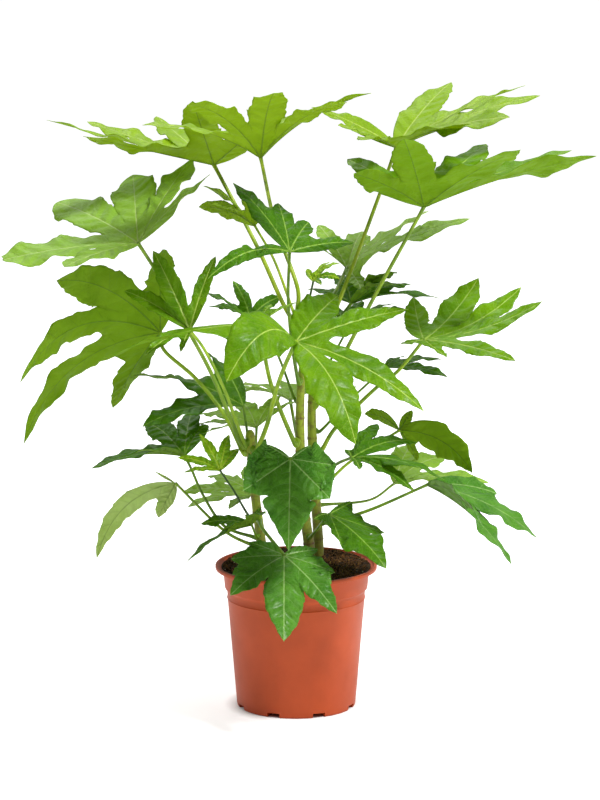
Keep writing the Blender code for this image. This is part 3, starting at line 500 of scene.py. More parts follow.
def half_lobe(origin, ribs, i, j, leaf, rows, tooth):
    """Rib points, margin points and place along the lobe of lobe i on the side of neighbour j."""
    wide, cut, neck, share = leaf.get("shape", LOBE_SHAPE)
    rib = ribs[i]
    size = rib["size"]
    wide, neck = wide * rib["broad"] * size, neck * rib["broad"] * size
    start = 0.86 * min(cut * leaf["length"], (share - 0.04) * size) / size
    web_part = np.linspace(0, 1, WEB_ROWS + 1)[:-1]
    t = np.linspace(0, 1, rows + 1)
    s = np.concatenate([web_part * start, start + (1 - start) * t])
    points = rib_point(origin, rib, s)
    hand = 1.0 if j > i else -1.0
    if 0 <= j < len(ribs) and abs(rib["turn"] - ribs[j]["turn"]) < OPEN_TURN:
        other = ribs[j]
        reach = min(cut * leaf["length"], share * min(size, other["size"]))
        along = np.concatenate([web_part, [1.0]]) * reach
        web = (rib_point(origin, rib, along / size) + rib_point(origin, other, along / other["size"])) / 2
        foot = (web[-1] - origin) @ rib["along"] / size
        across = web[-1] - rib_point(origin, rib, foot)
        at_cut = np.linalg.norm(across)
        s_edge = foot + (1 - foot) * t
        blend = np.clip(1 - t / 0.35, 0, 1)[:, None]
        side = unit(rib_side(rib, s_edge, hand) * (1 - blend) + across / at_cut * blend)
        width = lobe_width(t, at_cut, wide, neck, leaf.get("peak", LOBE_PEAK))
        width = width + tooth * size * teeth(s_edge)
        edge = np.concatenate([web[:-1], rib_point(origin, rib, s_edge) + side * width[:, None]])
        return points, edge, s, np.concatenate([along[:-1] / size, s_edge])
    width = wide * 1.15 * s**0.75 * (1 - s) ** 0.85 / 0.4858 + tooth * size * teeth(s)
    return points, points + rib_side(rib, s, hand) * width[:, None], s, s


def grid_faces(rows, columns, start=0, around=False, closed=False):
    """Triangles of a grid of points numbered row by row from start. Around joins its last column
    to its first, and closed does so with its rows."""
    k, c = np.meshgrid(np.arange(rows - (not closed)), np.arange(columns - (not around)), indexing="ij")
    below, right = (k + 1) % rows * columns, (c + 1) % columns
    a, b, d, e = (start + p.ravel() for p in (k * columns + c, below + c, k * columns + right, below + right))
    return np.concatenate([np.stack([a, b, e], 1), np.stack([a, e, d], 1)])


def fan_faces(centre, first, sides):
    """Triangles from a centre point to a ring of points numbered from the first."""
    c = np.arange(sides)
    return np.stack([np.full(sides, centre), first + c, first + (c + 1) % sides], 1)


def vertex_normals(verts, faces):
    corners = verts[faces]
    normal = np.cross(corners[:, 1] - corners[:, 0], corners[:, 2] - corners[:, 0])
    total = np.zeros_like(verts)
    for k in range(3):
        np.add.at(total, faces[:, k], normal)
    return unit(total)


def blade_sheet(leaf, settings, rng):
    """The blade as one grid per half lobe, in millimetres. Each grid runs along the rib in rows
    and out to the margin in columns packed closer at the rib. The lift along the normal is a sum:
    sine waves that grow with the square of the way out, the rise of the fold, a turn that grows as
    s^1.5 to the tip, and a swell that is the size of a sine between the side veins. Returns points,
    faces, UV (place along and across the lobe as parts of its length), lift, rib height, and the
    length of each point's lobe."""
    origin = np.array(leaf["at"], float)
    ribs = leaf_ribs(leaf)
    size_class = "large" if leaf["length"] >= LARGE_LEAF else "small"
    rows = LOBE_ROWS[size_class]
    columns = BLADE_COLUMNS[size_class] + 1
    v = np.linspace(0, 1, columns) ** COLUMN_PACKING
    leaf_fold = leaf.get("fold", settings.fold)
    points, faces, uv, lift, ridge, size = [], [], [], [], [], []
    start = 0
    for i, rib in enumerate(ribs):
        wave_phase = rng.uniform(0, math.tau, 2)
        wave_count = rng.uniform(*WAVE_COUNTS)
        twist = rng.uniform(-1, 1) * settings.twist
        minor = is_minor(ribs, i, leaf["length"])
        for j in (i - 1, i + 1):
            line, edge, s_line, s_edge = half_lobe(origin, ribs, i, j, leaf, rows, settings.tooth)
            count = len(line)
            width = np.linalg.norm(edge - line, axis=1)
            grid = line[:, None] + (edge - line)[:, None] * v[None, :, None]
            s = s_line[:, None] + (s_edge - s_line)[:, None] * v
            across = width[:, None] * v
            free = np.clip((np.arange(count) - WEB_ROWS) / (0.25 * rows), 0, 1)[:, None]
            phase = wave_phase[0 if j < i else 1]
            ripple = 0.3 * np.sin(math.tau * 2.3 * wave_count * s + 2 * phase)
            wave = (np.sin(math.tau * wave_count * s + phase) + ripple) * v**2 * free
            fold = leaf_fold * across * (1 - 0.3 * v)
            turn = twist * across * s**1.5 * free * (-1 if j < i else 1)
            part = across / rib["size"]
            order = s + 0.035 * np.sin(math.tau * 1.3 * s + 3 * phase) + 0.04 * np.sin(phase)
            beat = (order - part * (VEIN_SLANT + VEIN_BEND * part)) * SIDE_VEINS
            puff = settings.puff * min(1.0, (rib["size"] / FULL_PUFF_LOBE) ** 1.5)
            puff = puff * (np.abs(np.sin(math.pi * beat)) - 0.5) * np.sin(math.pi * v**0.8)
            taper = smoothstep(1.0, 0.8, s)
            lift.append((settings.wave * width[:, None] * wave + fold + turn + puff * taper).ravel())
            ridge.append((smoothstep(RIB_WIDTH, 0.0, across) * (1.3 - 1.1 * s) * (not minor)).ravel())
            far = np.maximum(part, SWELLING_OFF_RIB / rib["size"]) if minor else part
            uv.append(np.stack([order, far], -1).reshape(-1, 2))
            size.append(np.full(grid.shape[0] * columns, rib["size"]))
            tris = grid_faces(count, columns, start)
            faces.append(tris[:, ::-1] if j < i else tris)
            points.append(grid.reshape(-1, 3))
            start += count * columns
    return (np.concatenate(points), np.concatenate(faces), np.concatenate(uv),
            np.concatenate(lift), np.concatenate(ridge), np.concatenate(size))


def is_minor(ribs, i, length):
    """Whether a lobe is only a swelling of the margin: short and close to both its neighbours."""
    if i in (0, len(ribs) - 1) or ribs[i]["size"] > MINOR_REACH * length:
        return False
    before, turn, after = (rib["turn"] for rib in ribs[i - 1:i + 2])
    return max(after - turn, turn - before) < MINOR_TURN


def closed_blade(leaf, settings, rng):
    """Upper and lower skins of a blade, lifted off its sheet along the shared normals, with the
    ribs standing out below and sunk a little above, and a rim between the skins."""
    points, faces, uv, lift, ridge, size = blade_sheet(leaf, settings, rng)
    key = np.round(points / WELD).astype(np.int64)
    _, first, index = np.unique(key, axis=0, return_index=True, return_inverse=True)
    index = index.ravel()
    base = points[first]
    count = len(first)
    share = np.bincount(index, minlength=count)
    lift = np.bincount(index, lift, count) / share
    ridge = np.bincount(index, ridge, count) / share
    size = np.bincount(index, size, count) / share
    tris = index[faces]
    solid = (tris[:, 0] != tris[:, 1]) & (tris[:, 1] != tris[:, 2]) & (tris[:, 0] != tris[:, 2])
    tris, faces = tris[solid], faces[solid]
    normal = vertex_normals(base, tris)
    half = BLADE_THICKNESS / 2
    upper = base + normal * (lift + half - RIB_SUNK * ridge)[:, None]
    lower = base + normal * (lift - half - ridge)[:, None]
    edges = np.concatenate([tris[:, [0, 1]], tris[:, [1, 2]], tris[:, [2, 0]]])
    corner = np.concatenate([faces[:, [0, 1]], faces[:, [1, 2]], faces[:, [2, 0]]])
    _, place, times = np.unique(np.sort(edges, 1), axis=0, return_index=True, return_counts=True)
    rim = edges[place[times == 1]]
    rim_corner = corner[place[times == 1]]
    a, b = rim[:, 0], rim[:, 1]
    rim_faces = np.concatenate([np.stack([a, a + count, b + count], 1), np.stack([a, b + count, b], 1)])
    ca, cb = rim_corner[:, 0], rim_corner[:, 1]
    rim_uv = np.concatenate([np.stack([ca, ca, cb], 1), np.stack([ca, cb, cb], 1)])
    all_faces = np.concatenate([tris, tris[:, ::-1] + count, rim_faces])
    all_uv = uv[np.concatenate([faces, faces[:, ::-1], rim_uv])]
    slots = np.concatenate([np.zeros(len(tris)), np.ones(len(tris)), np.zeros(len(rim_faces))])
    return np.concatenate([upper, lower]), all_faces, all_uv, slots, np.concatenate([size, size])


def smooth_path(points, parts):
    """Points of a smooth curve through the given ones, parts of them to each span."""
    points = np.array(points, float)
    points = np.vstack([2 * points[0] - points[1], points, 2 * points[-1] - points[-2]])
    t = (np.arange(parts) / parts)[None, :, None]
    a, b, c, d = (points[k:len(points) - 3 + k, None] for k in range(4))
    path = 0.5 * (2 * b + (c - a) * t + (2 * a - 5 * b + 4 * c - d) * t**2
                  + (3 * b - a - 3 * c + d) * t**3)
    return np.vstack([path.reshape(-1, 3), points[-2]])


def tube(path, radii, sides, flutes, flute_count):
    """A closed tube of rings square to a path: each ring a circle with shallow flutes. The frame
    of each ring is carried along the path without twist. Returns points and triangles."""
    tangent = unit(np.gradient(path, axis=0))
    side = np.zeros_like(path)
    seed = np.array((0.0, 0.0, 1.0)) if abs(tangent[0, 2]) < 0.9 else np.array((1.0, 0.0, 0.0))
    side[0] = unit(np.cross(tangent[0], seed))
    for k in range(1, len(path)):
        side[k] = unit(side[k - 1] - (side[k - 1] @ tangent[k]) * tangent[k])
    other = np.cross(tangent, side)
    angle = np.linspace(0, math.tau, sides, endpoint=False)
    wobble = 1 + flutes * np.cos(flute_count * angle)
    ring = (side[:, None] * np.cos(angle)[None, :, None] + other[:, None] * np.sin(angle)[None, :, None])
    points = path[:, None] + ring * (radii[:, None] * wobble[None])[..., None]
    last = len(path) * sides
    faces = np.concatenate([grid_faces(len(path), sides, around=True)[:, ::-1],
                            fan_faces(last, 0, sides)[:, ::-1],
                            fan_faces(last + 1, last - sides, sides)])
    return np.vstack([points.reshape(-1, 3), path[0], path[-1]]), faces


def stem_place(stem, height):
    """Centre and radius of a stem at a height."""
    line, radii = STEMS[stem]
    heights = [p[2] for p in line]
    centre = np.array([np.interp(height, heights, [p[k] for p in line]) for k in range(3)])
    return centre, float(np.interp(height, heights, radii))


def leaf_stalk(leaf):
    """A leaf's stalk: it clasps the stem with a foot 0.75 thicker that thins out over 7 mm, runs
    slim and swells by 0.25 over the last 6 mm under the blade, where the ribs part."""
    stem, height, via, foot_radius, top_radius = leaf["stalk"]
    centre, radius = stem_place(stem, height)
    origin = np.array(leaf["at"], float)
    toward = (np.array(via[0], float) if via else origin) - centre
    toward[2] = 0.0
    toward = unit(toward)
    foot = centre + toward * (radius - STALK_SUNK)
    straight = centre + toward * (radius + STALK_STRAIGHT)
    path = smooth_path([foot, straight, *via, origin], 16 if len(via) < 2 else 12)
    last = unit(path[-1] - path[-2])
    path = np.vstack([path, origin + last * STALK_PAST_BLADE])
    run = np.concatenate([[0], np.cumsum(np.linalg.norm(np.diff(path, axis=0), axis=1))])
    radii = foot_radius + (top_radius - foot_radius) * run / run[-1]
    radii = radii * (1 + 0.75 * np.exp(-run / 7.0) + 0.25 * np.exp(-(run[-1] - run) / 6.0))
    return tube(path, radii, STALK_SIDES, 0.04, 5)


def vein_layers(tree, place):
    """Masks from the blade's own UV: the rib, the side veins that leave it at a slant and bend to
    the tip, the swell between them, and the fine net. Widths are millimetres, so they stay true
    on lobes of every size."""
    uv = add_node(tree, "UVMap", {"uv_map": "blade"})
    parts = add_node(tree, "SeparateXYZ", {0: uv})
    along, across = parts.outputs["X"], parts.outputs["Y"]
    size = add_node(tree, "Attribute", {"attribute_name": "lobe_size"}).outputs["Fac"]
    across_mm = add_node(tree, "Math", {"operation": "MULTIPLY", 0: across, 1: size})
    rib_half = add_node(tree, "Math", {"operation": "MULTIPLY_ADD", 0: along, 1: -1.0, 2: 1.6})
    rib_far = add_node(tree, "Math", {"operation": "DIVIDE", 0: across_mm, 1: rib_half})
    rib = add_node(tree, "Math", {"operation": "SUBTRACT", "use_clamp": True, 0: 1.15, 1: rib_far})
    bend = add_node(tree, "Math", {"operation": "MULTIPLY_ADD", 0: across, 1: VEIN_BEND, 2: VEIN_SLANT})
    lean = add_node(tree, "Math", {"operation": "MULTIPLY", 0: across, 1: bend})
    start = add_node(tree, "Math", {"operation": "SUBTRACT", 0: along, 1: lean})
    wander = add_node(tree, "TexNoise", {"Scale": 25.0, "Detail": 1.0, "Vector": place})
    shift = add_node(tree, "Math", {"operation": "MULTIPLY", 0: wander, 1: 0.3})
    beat = add_node(tree, "Math", {"operation": "MULTIPLY_ADD", 0: start, 1: float(SIDE_VEINS), 2: shift})
    swell = add_node(tree, "Math", {"operation": "PINGPONG", 0: beat, 1: 0.5})
    gap = add_node(tree, "Math", {"operation": "MULTIPLY", 0: swell, 1: size})
    thin = add_node(tree, "Math", {"operation": "MULTIPLY", 0: gap, 1: 1.0 / SIDE_VEINS / 0.55})
    vein = add_node(tree, "Math", {"operation": "SUBTRACT", "use_clamp": True, 0: 1.0, 1: thin})
    fade = add_node(tree, "Math", {"operation": "MULTIPLY_ADD", "use_clamp": True,
                                   0: across, 1: -4.5, 2: 1.1})
    side_vein = add_node(tree, "Math", {"operation": "MULTIPLY", 0: vein, 1: fade})
    cells = add_node(tree, "TexVoronoi", {"feature": "DISTANCE_TO_EDGE", "Scale": 230.0, "Vector": place})
    net = add_node(tree, "Math", {"operation": "MULTIPLY_ADD", "use_clamp": True,
                                  0: cells, 1: -8.0, 2: 1.0})
    return rib, side_vein, swell, net


def mottled(tree, pattern, low, high, colour, shade):
    """Colour of a surface that goes from one colour to another where a pattern passes from low to
    high."""
    part = add_node(tree, "MapRange", {"From Min": low, "From Max": high, "Value": pattern})
    return add_node(tree, "Mix", {"data_type": "RGBA", 0: part, 6: colour, 7: shade}).outputs[2]


def matter(material, tree, colour, roughness, specular, relief, strength, depth, ior=1.5):
    """Finish a material that lets no light through: its colour, its dull or satin skin and a
    relief of a depth in metres."""
    bump = add_node(tree, "Bump", {"Strength": strength, "Distance": depth, "Height": relief})
    skin = add_node(tree, "BsdfPrincipled", {"IOR": ior, "Specular IOR Level": specular,
                                             "Base Color": colour, "Roughness": roughness, "Normal": bump})
    add_node(tree, "OutputMaterial", {"Surface": skin})
    return material


def leaf_relief(tree, place, up, swell, layers):
    """Relief of a blade in millimetres: the swell between side veins, the given layers with their
    depths, and quilting and wrinkles on top. Up is -1 on the underside, where all is reversed."""
    bend = add_node(tree, "TexNoise", {"Scale": 60.0, "Detail": 1.0, "Vector": place}).outputs[1]
    warped = add_node(tree, "Mix", {"data_type": "VECTOR", 0: 0.02, 4: place, 5: bend}).outputs[1]
    quilt = add_node(tree, "TexVoronoi", {"feature": "SMOOTH_F1", "Scale": 135.0, "Smoothness": 0.6,
                                          "Vector": warped})
    wrinkle = add_node(tree, "TexNoise", {"Scale": 210.0, "Detail": 3.0, "Vector": place})
    height = add_node(tree, "Math", {"operation": "MULTIPLY", 0: swell, 1: 1.8 * up})
    for layer, depth in (*layers, (quilt, -1.1), (wrinkle, 0.5)):
        height = add_node(tree, "Math", {"operation": "MULTIPLY_ADD", 0: layer, 1: depth * up, 2: height})
    return add_node(tree, "Bump", {"Strength": 1.0, "Distance": MM, "Height": height})


def leaf_material(name, colours, roughness, gloss, glow, rib_show, up):
    """Living leaf skin under a waxy cuticle. Light that comes through it is yellower than light that it
    throws back, and the ribs, which are thick, let little through; above they are paler, and below their
    colour is mostly darker than the blade, a painted shade of the light that they keep back."""
    blade, shade, vein, through = (linear(code) for code in colours)
    material, tree, place = new_material(name)
    rib, side_vein, swell, net = vein_layers(tree, place)
    cloud = add_node(tree, "TexNoise", {"Scale": 24.0, "Detail": 4.0, "Roughness": 0.62, "Vector": place})
    base = mottled(tree, cloud, 0.36, 0.64, blade, shade)
    net_show = add_node(tree, "Math", {"operation": "MULTIPLY", 0: net, 1: 0.14})
    side_show = add_node(tree, "Math", {"operation": "MULTIPLY", 0: side_vein, 1: 0.6 * rib_show})
    rib_part = add_node(tree, "Math", {"operation": "MULTIPLY", 0: rib, 1: rib_show})
    ribs = add_node(tree, "Math", {"operation": "MAXIMUM", 0: rib_part, 1: side_show})
    veins = add_node(tree, "Math", {"operation": "MAXIMUM", "use_clamp": True, 0: ribs, 1: net_show})
    colour = add_node(tree, "Mix", {"data_type": "RGBA", 0: veins, 6: base, 7: vein}).outputs[2]
    layers = ((side_vein, -0.3), (net, -0.08), (cloud, 1.2))
    bump = leaf_relief(tree, place, up, swell, layers)
    rough = add_node(tree, "MapRange", {"From Min": 0.3, "From Max": 0.7, "To Min": roughness - 0.07,
                                        "To Max": roughness + 0.10, "Value": cloud})
    skin = add_node(tree, "BsdfPrincipled", {
        "IOR": 1.42, "Specular IOR Level": 0.12, "Coat Weight": gloss, "Coat Roughness": 0.22,
        "Base Color": colour, "Roughness": rough, "Normal": bump})
    lit = add_node(tree, "BsdfTranslucent", {"Color": through, "Normal": bump})
    let = add_node(tree, "Math", {"operation": "MULTIPLY_ADD", 0: ribs, 1: -0.75 * glow, 2: glow})
    both = add_node(tree, "MixShader", {0: let, 1: skin, 2: lit})
    add_node(tree, "OutputMaterial", {"Surface": both})
    return material


def stalk_material(name, colour, shade):
    """Green leaf stalk, smooth and slightly waxy, with long fine streaks."""
    material, tree, place = new_material(name)
    stretch = add_node(tree, "Mapping", {"Scale": (90.0, 90.0, 14.0), "Vector": place})
    streak = add_node(tree, "TexNoise", {"Scale": 1.0, "Detail": 4.0, "Vector": stretch})
    green = mottled(tree, streak, 0.38, 0.62, linear(colour), linear(shade))
    return matter(material, tree, green, 0.42, 0.3, streak, 0.25, 0.5 * MM)


def stem_material():
    """Young fatsia bark: yellow-green and matt, browner toward the soil, with brown corky scars
    where old leaves stood."""
    material, tree, place = new_material("yellow_green_bark")
    stretch = add_node(tree, "Mapping", {"Scale": (150.0, 150.0, 26.0), "Vector": place})
    streak = add_node(tree, "TexNoise", {"Scale": 1.0, "Detail": 6.0, "Roughness": 0.65, "Vector": stretch})
    green = mottled(tree, streak, 0.36, 0.64, linear("#97a62c"), linear("#788a20"))
    # Darker and browner toward the soil.
    height = add_node(tree, "SeparateXYZ", {0: place}).outputs["Z"]
    low = add_node(tree, "MapRange", {"From Min": 0.18, "From Max": 0.27, "To Min": 0.6, "To Max": 0.0,
                                      "Value": height})
    darker_low = add_node(tree, "Mix", {"data_type": "RGBA", 0: low, 6: green, 7: linear("#6e6232")}).outputs[2]
    scar = add_node(tree, "Attribute", {"attribute_name": "scar"}).outputs["Fac"]
    patch = add_node(tree, "TexNoise", {"Scale": 120.0, "Detail": 5.0, "Roughness": 0.7, "Vector": place})
    corky = add_node(tree, "MapRange", {"From Min": 0.48, "From Max": 0.6, "Value": patch})
    show = add_node(tree, "Math", {"operation": "MULTIPLY_ADD", "use_clamp": True, 0: corky, 1: 0.5, 2: scar})
    bark = add_node(tree, "Mix", {"data_type": "RGBA", 0: show, 6: darker_low, 7: linear("#64402a")}).outputs[2]
    return matter(material, tree, bark, 0.6, 0.3, streak, 0.6, MM)


def pot_material(colour):
    """Injection-moulded polypropylene in terracotta colour: satin, with a faint flow mottling and
    a fine dusty grain that softens its gloss."""
    material, tree, place = new_material("moulded_polypropylene")
    flow = add_node(tree, "TexNoise", {"Scale": 14.0, "Detail": 5.0, "Roughness": 0.6, "Vector": place})
    grain = add_node(tree, "TexNoise", {"Scale": 900.0, "Detail": 2.0, "Vector": place})
    plastic = mottled(tree, flow, 0.35, 0.7, linear(colour), linear(colour, 0.8))
    rough = add_node(tree, "MapRange", {"To Min": 0.42, "To Max": 0.62, "Value": flow})
    return matter(material, tree, plastic, rough, 0.28, grain, 0.15, 0.4 * MM, 1.49)


def plain_material(name, code, roughness, grain_scale, strength):
    """Loose natural matter of one colour with a rough grain, painted darker in the hollows of its relief and
    lighter on its rises: painted shade and painted highlights.
    """
    material, tree, place = new_material(name)
    grain = add_node(tree, "TexNoise", {"Scale": grain_scale, "Detail": 6.0, "Vector": place})
    # The grain that raises the relief also sets the colour: painted shade in the hollows, painted highlights
    # on the rises.
    colour = mottled(tree, grain, 0.35, 0.65, linear(code, 0.25), linear(code, 1.7))
    return matter(material, tree, colour, roughness, 0.2, grain, strength, 2 * MM)


def turned(profile, steps):
    """Points of a profile of radii and heights turned about Z, one ring for each of its corners."""
    r, z = np.array(profile, float).T[..., None]
    angle = np.linspace(0, math.tau, steps, endpoint=False)
    return np.stack([r * np.cos(angle), r * np.sin(angle), z + 0 * angle], -1).reshape(-1, 3)


def soften_edges(item, degrees):
    """Mark edges sharper than an angle, so that shading breaks there."""
    work = bmesh.new()
    work.from_mesh(item.data)
    for edge in work.edges:
        if len(edge.link_faces) == 2 and edge.calc_face_angle() > math.radians(degrees):
            edge.smooth = False
    work.to_mesh(item.data)
    work.free()


def cut_notch(context, pot, turn):
    """Cut one drainage notch through the pot's foot ring at a turn about its axis."""
    bpy.ops.mesh.primitive_cube_add(size=1.0)
    cutter = context.object
    cutter.scale = [side * MM for side in NOTCH_BLOCK]
    cutter.location = (NOTCH_PLACE * MM * math.cos(turn), NOTCH_PLACE * MM * math.sin(turn), 0.0)
    cutter.rotation_euler = (0.0, 0.0, turn)
    context.view_layer.update()
    cut = pot.modifiers.new("notch", "BOOLEAN")
    cut.object = cutter
    cut.solver = "EXACT"
    baked = bpy.data.meshes.new_from_object(pot.evaluated_get(context.evaluated_depsgraph_get()))
    pot.modifiers.clear()
    pot.data = baked
    bpy.data.objects.remove(cutter)


class FATSIA_OT_pot(bpy.types.Operator):
    """Turn the nursery pot from its profile and cut the drainage notches through its foot"""

    bl_idname = "fatsia.pot"
    bl_label = "Build pot"

    def execute(self, context):
        profile = POT_OUTSIDE + POT_INSIDE
        faces = grid_faces(len(profile), POT_STEPS, around=True, closed=True)[:, ::-1]
        material = pot_material(context.scene.fatsia_pot.colour)
        pot = mesh_piece("nursery_pot", turned(profile, POT_STEPS) * MM, faces, [material])
        work = bmesh.new()
        work.from_mesh(pot.data)
        bmesh.ops.remove_doubles(work, verts=work.verts, dist=0.03 * MM)
        bmesh.ops.recalc_face_normals(work, faces=work.faces)
        work.to_mesh(pot.data)
        work.free()
        for k in range(NOTCH_COUNT):
            cut_notch(context, pot, math.tau * (k + 0.5) / NOTCH_COUNT)
        pot.data.polygons.foreach_set("use_smooth", np.ones(len(pot.data.polygons), bool))
        soften_edges(pot, SHARP_EDGE)
        place_on_frame(pot, "pot")
        return {"FINISHED"}


def soil_height(far):
    """Height of the smooth soil at a distance from the pot's axis, in millimetres."""
    return np.interp(far, *np.array(SOIL_TOP).T)


def soil_top(rng):
    """Points of the soil's top in rings: its smooth height plus waves of several lengths, three of
    each length in random directions, which fade toward the pot's wall."""
    part = np.linspace(0.02, 1, SOIL_RINGS)[:, None]
    angle = np.linspace(0, math.tau, SOIL_STEPS, endpoint=False)
    r = SOIL_EDGE * part + 0 * angle
    x, y = r * np.cos(angle), r * np.sin(angle)
    relief = 0 * r
    for scale, height in SOIL_WAVES:
        turn = rng.uniform(0, math.tau, 6)
        for k in range(3):
            relief += height / 2 * np.sin(scale * (x * np.cos(turn[k]) + y * np.sin(turn[k])) + turn[k + 3])
    z = soil_height(r) + relief * (1 - 0.8 * part**8)
    return np.stack([x, y, z], -1).reshape(-1, 3)


def scatter(rng, name, count, sizes, least, material):
    """Small lumps lying on the soil: each a 12-cornered ball, stretched, turned at random and
    with its corners moved. `least` is the least stretch in each direction."""
    work = bmesh.new()
    bmesh.ops.create_icosphere(work, subdivisions=1, radius=1.0)
    ball = np.array([v.co for v in work.verts])
    tris = np.array([[v.index for v in f.verts] for f in work.faces])
    work.free()
    size = rng.uniform(*sizes, count)
    stretch = np.array(least) * rng.uniform(1.0, 1.9, (count, 3))
    far = (SOIL_EDGE - 1 - size * stretch.max(axis=1)) * np.sqrt(rng.uniform(0, 1, count))
    turn = rng.uniform(0, math.tau, count)
    centre = np.stack([far * np.cos(turn), far * np.sin(turn), soil_height(far) + 0.4 * size], 1)
    bumps = rng.uniform(0.75, 1.25, (count, len(ball), 1))
    lumps = ball[None] * stretch[:, None] * bumps * size[:, None, None]
    axes = np.linalg.qr(rng.normal(size=(count, 3, 3)))[0]
    flat = np.diag((1.0, 1.0, 0.45)) if max(least) > 2 else np.eye(3)
    points = centre[:, None] + lumps @ axes @ flat
    faces = tris[None] + (np.arange(count) * len(ball))[:, None, None]
    item = mesh_piece(name, points.reshape(-1, 3) * MM, faces.reshape(-1, 3), [material])
    item.data.polygons.foreach_set("use_smooth", np.zeros(len(item.data.polygons), bool))
    place_on_frame(item, None)


class FATSIA_OT_soil(bpy.types.Operator):
    """Heap dark peat into the pot, with crumbs and pale perlite on top"""

    bl_idname = "fatsia.soil"
    bl_label = "Build soil"

    def execute(self, context):
        rng = np.random.default_rng(11)
        points = np.vstack([soil_top(rng), turned(SOIL_SIDE, SOIL_STEPS), (0, 0, soil_height(0.0)),
                            (0, 0, SOIL_SIDE[-1][1])])
        rings, last = SOIL_RINGS + len(SOIL_SIDE), len(points) - 1
        faces = np.concatenate([grid_faces(rings, SOIL_STEPS, around=True),
                                fan_faces(last - 1, 0, SOIL_STEPS),
                                fan_faces(last, (rings - 1) * SOIL_STEPS, SOIL_STEPS)[:, ::-1]])
        peat = plain_material("damp_peat", "#2a1c0e", 0.9, 380.0, 1.0)
        place_on_frame(mesh_piece("soil_bed", points * MM, faces, [peat]), "soil")
        crumb = plain_material("peat_crumb", "#4a3014", 0.9, 240.0, 1.0)
        fibre = plain_material("coir_fibre", "#826032", 0.8, 500.0, 0.6)
        perlite = plain_material("perlite", "#cfc9ba", 0.8, 900.0, 0.5)
        scatter(rng, "soil_crumbs", 3000, (0.9, 2.9), (0.6, 0.6, 0.6), crumb)
        scatter(rng, "soil_fibres", 420, (0.5, 0.9), (0.5, 0.6, 7.0), fibre)
        scatter(rng, "perlite_grains", 60, (0.6, 1.4), (0.8, 0.8, 0.8), perlite)
        return {"FINISHED"}


class FATSIA_OT_stems(bpy.types.Operator):
    """Grow the three stems with their swollen nodes and leaf scars"""

    bl_idname = "fatsia.stems"
    bl_label = "Build stems"

    def execute(self, context):
        rng = np.random.default_rng(7)
        material = stem_material()
        for name, (line, radii) in STEMS.items():
            path = smooth_path(line, 40)
            height = path[:, 2]
            radius = np.interp(height, [p[2] for p in line], radii)
            scar = np.zeros(len(path))
            at = FIRST_SCAR
            while at < line[-1][2] - 12:
                near = np.exp(-((height - at) / SCAR_HEIGHT) ** 2)
                radius = radius * (1 + SCAR_SWELL * near)
                scar = np.maximum(scar, near * rng.uniform(0.1, 1.0))
                at += rng.uniform(*SCAR_GAPS)
            points, faces = tube(path, radius, STEM_SIDES, 0.03, 4)
            scar = np.concatenate([np.repeat(scar, STEM_SIDES), (0.0, 0.0)])
            item = mesh_piece("fatsia_stem_" + name, points * MM, faces, [material], values={"scar": scar})
            place_on_frame(item, "stem_" + name)
        return {"FINISHED"}


class FATSIA_OT_leaves(bpy.types.Operator):
    """Grow every leaf: a lobed blade of two skins with raised ribs below, and its stalk"""

    bl_idname = "fatsia.leaves"
    bl_label = "Build leaves"

    def execute(self, context):
        settings = context.scene.fatsia_leaves
        looks = {tone: (leaf_material(tone + "_leaf_upper", *UPPER[tone], 0.85, 1.0),
                        leaf_material(tone + "_leaf_under", *UNDER[tone], 0.9, -1.0),
                        stalk_material(tone + "_stalk", *STALKS[tone])) for tone in UPPER}
        for number, leaf in enumerate(LEAVES):
            name = leaf["name"]
            rng = np.random.default_rng(100 + number)
            tone = next((tone for tone, names in TONES.items() if name in names), "mid")
            blade, faces, uv, slots, size = closed_blade(leaf, settings, rng)
            stalk, stalk_faces = leaf_stalk(leaf)
            faces = np.concatenate([faces, stalk_faces + len(blade)])
            uv = np.concatenate([uv, np.zeros((len(stalk_faces), 3, 2))])
            slots = np.concatenate([slots, np.full(len(stalk_faces), 2)])
            size = np.concatenate([size, np.zeros(len(stalk))])
            item = mesh_piece("fatsia_leaf_" + name, np.vstack([blade, stalk]) * MM, faces, looks[tone],
                              slots, uv, {"lobe_size": size})
            place_on_frame(item, "leaf_" + name)
        return {"FINISHED"}


def studio_world():
    """White light from all round that is weaker from the front (-Y), so that forms stand out."""
    world = bpy.data.worlds.new("studio")
    world.use_nodes = True
    tree = world.node_tree
    tree.nodes.clear()
    place = add_node(tree, "TexCoord", {}).outputs["Generated"]
    front = add_node(tree, "SeparateXYZ", {0: place}).outputs["Y"]
    level = add_node(tree, "MapRange", {"From Min": -0.7, "From Max": 0.4, "To Min": 0.05, "To Max": 0.55,
                                        "Value": front})
    glow = add_node(tree, "Background", {"Color": WHITE, "Strength": level})
    add_node(tree, "OutputWorld", {"Surface": glow})
    return world


def floor_material():
    """Pale studio floor that glows into white away from the pot. Near the pot its glow is weaker, and under
    the pot and in a ring round its foot it doesn't glow, so that the drainage notches stay dark: a painted
    shadow round the pot's foot."""
    material, tree, place = new_material("pale_studio_floor")
    far = add_node(tree, "VectorMath", {"operation": "LENGTH", 0: place}).outputs["Value"]
    # Weaker glow near the pot: painted shade round it.
    glow = add_node(tree, "MapRange", {"From Min": 0.1, "From Max": 1.1, "To Min": 0.58, "To Max": 0.75,
                                       "Value": far})
    # No glow under the pot and out to 95 mm, past its foot: a painted contact shadow.
    clear = add_node(tree, "MapRange", {"From Min": 0.07, "From Max": 0.095, "Value": far})
    lit = add_node(tree, "Math", {"operation": "MULTIPLY", 0: glow, 1: clear})
    skin = add_node(tree, "BsdfPrincipled", {
        "Base Color": FLOOR_GREY, "Roughness": 0.9, "Emission Color": WHITE, "Emission Strength": lit})
    add_node(tree, "OutputMaterial", {"Surface": skin})
    return material


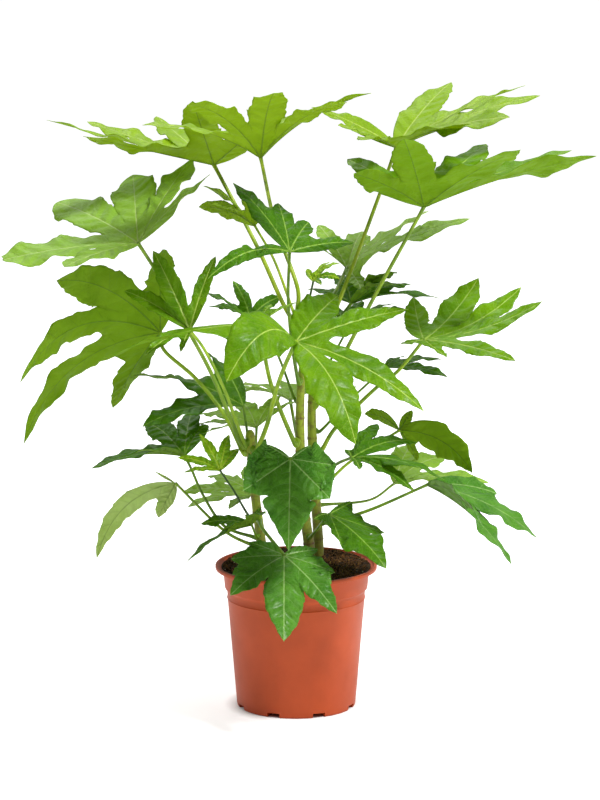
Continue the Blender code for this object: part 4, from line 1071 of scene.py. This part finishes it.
class FATSIA_OT_stage(bpy.types.Operator):
    """Set the pale floor, the soft studio light and the camera of the photograph"""

    bl_idname = "fatsia.stage"
    bl_label = "Build stage"

    def execute(self, context):
        settings = context.scene.fatsia_stage
        bpy.ops.mesh.primitive_plane_add(size=30.0, location=(0.0, 0.0, 0.0))
        floor = context.object
        floor.name = "floor"
        floor.data.materials.append(floor_material())
        context.scene.world = studio_world()
        for name, place, size, power in LAMPS:
            light = bpy.data.lights.new(name, "AREA")
            light.size = size
            light.energy = power
            lamp = bpy.data.objects.new(name, light)
            lamp.location = place
            lamp.rotation_euler = (LAMP_AIM - lamp.location).to_track_quat("-Z", "Y").to_euler()
            context.scene.collection.objects.link(lamp)
        camera_data = bpy.data.cameras.new("camera")
        camera_data.lens = settings.focal_length
        camera_data.sensor_width = 36.0
        camera_data.clip_end = 100.0
        camera = bpy.data.objects.new("camera", camera_data)
        camera.location = (CAMERA_SIDE, -settings.camera_distance, settings.camera_height)
        camera.rotation_euler = (math.pi / 2 - settings.camera_tilt, 0.0, 0.0)
        context.scene.collection.objects.link(camera)
        context.scene.camera = camera
        context.scene.view_settings.view_transform = "Standard"
        return {"FINISHED"}


class FATSIA_PT_panel(bpy.types.Panel):
    """Sizes and steps of the potted fatsia"""

    bl_label = "Potted fatsia"
    bl_idname = "FATSIA_PT_panel"
    bl_space_type = "VIEW_3D"
    bl_region_type = "UI"
    bl_category = "Fatsia"

    def draw(self, context):
        for name, settings in SETTINGS.items():
            for key in settings.__annotations__:
                self.layout.prop(getattr(context.scene, name), key)
        for operator in OPERATORS:
            self.layout.operator(operator.bl_idname)


SETTINGS = {"fatsia_pot": PotSettings, "fatsia_leaves": LeafSettings, "fatsia_stage": StageSettings}
OPERATORS = (FATSIA_OT_pot, FATSIA_OT_soil, FATSIA_OT_stems, FATSIA_OT_leaves, FATSIA_OT_stage)
CLASSES = (*SETTINGS.values(), *OPERATORS, FATSIA_PT_panel)


def register():
    for item in CLASSES:
        bpy.utils.register_class(item)
    for name, settings in SETTINGS.items():
        setattr(bpy.types.Scene, name, bpy.props.PointerProperty(type=settings))


def unregister():
    for name in SETTINGS:
        delattr(bpy.types.Scene, name)
    for item in reversed(CLASSES):
        bpy.utils.unregister_class(item)


def main():
    register()
    bpy.ops.fatsia.pot()
    bpy.ops.fatsia.soil()
    bpy.ops.fatsia.stems()
    bpy.ops.fatsia.leaves()
    bpy.ops.fatsia.stage()


if __name__ == "__main__":
    main()
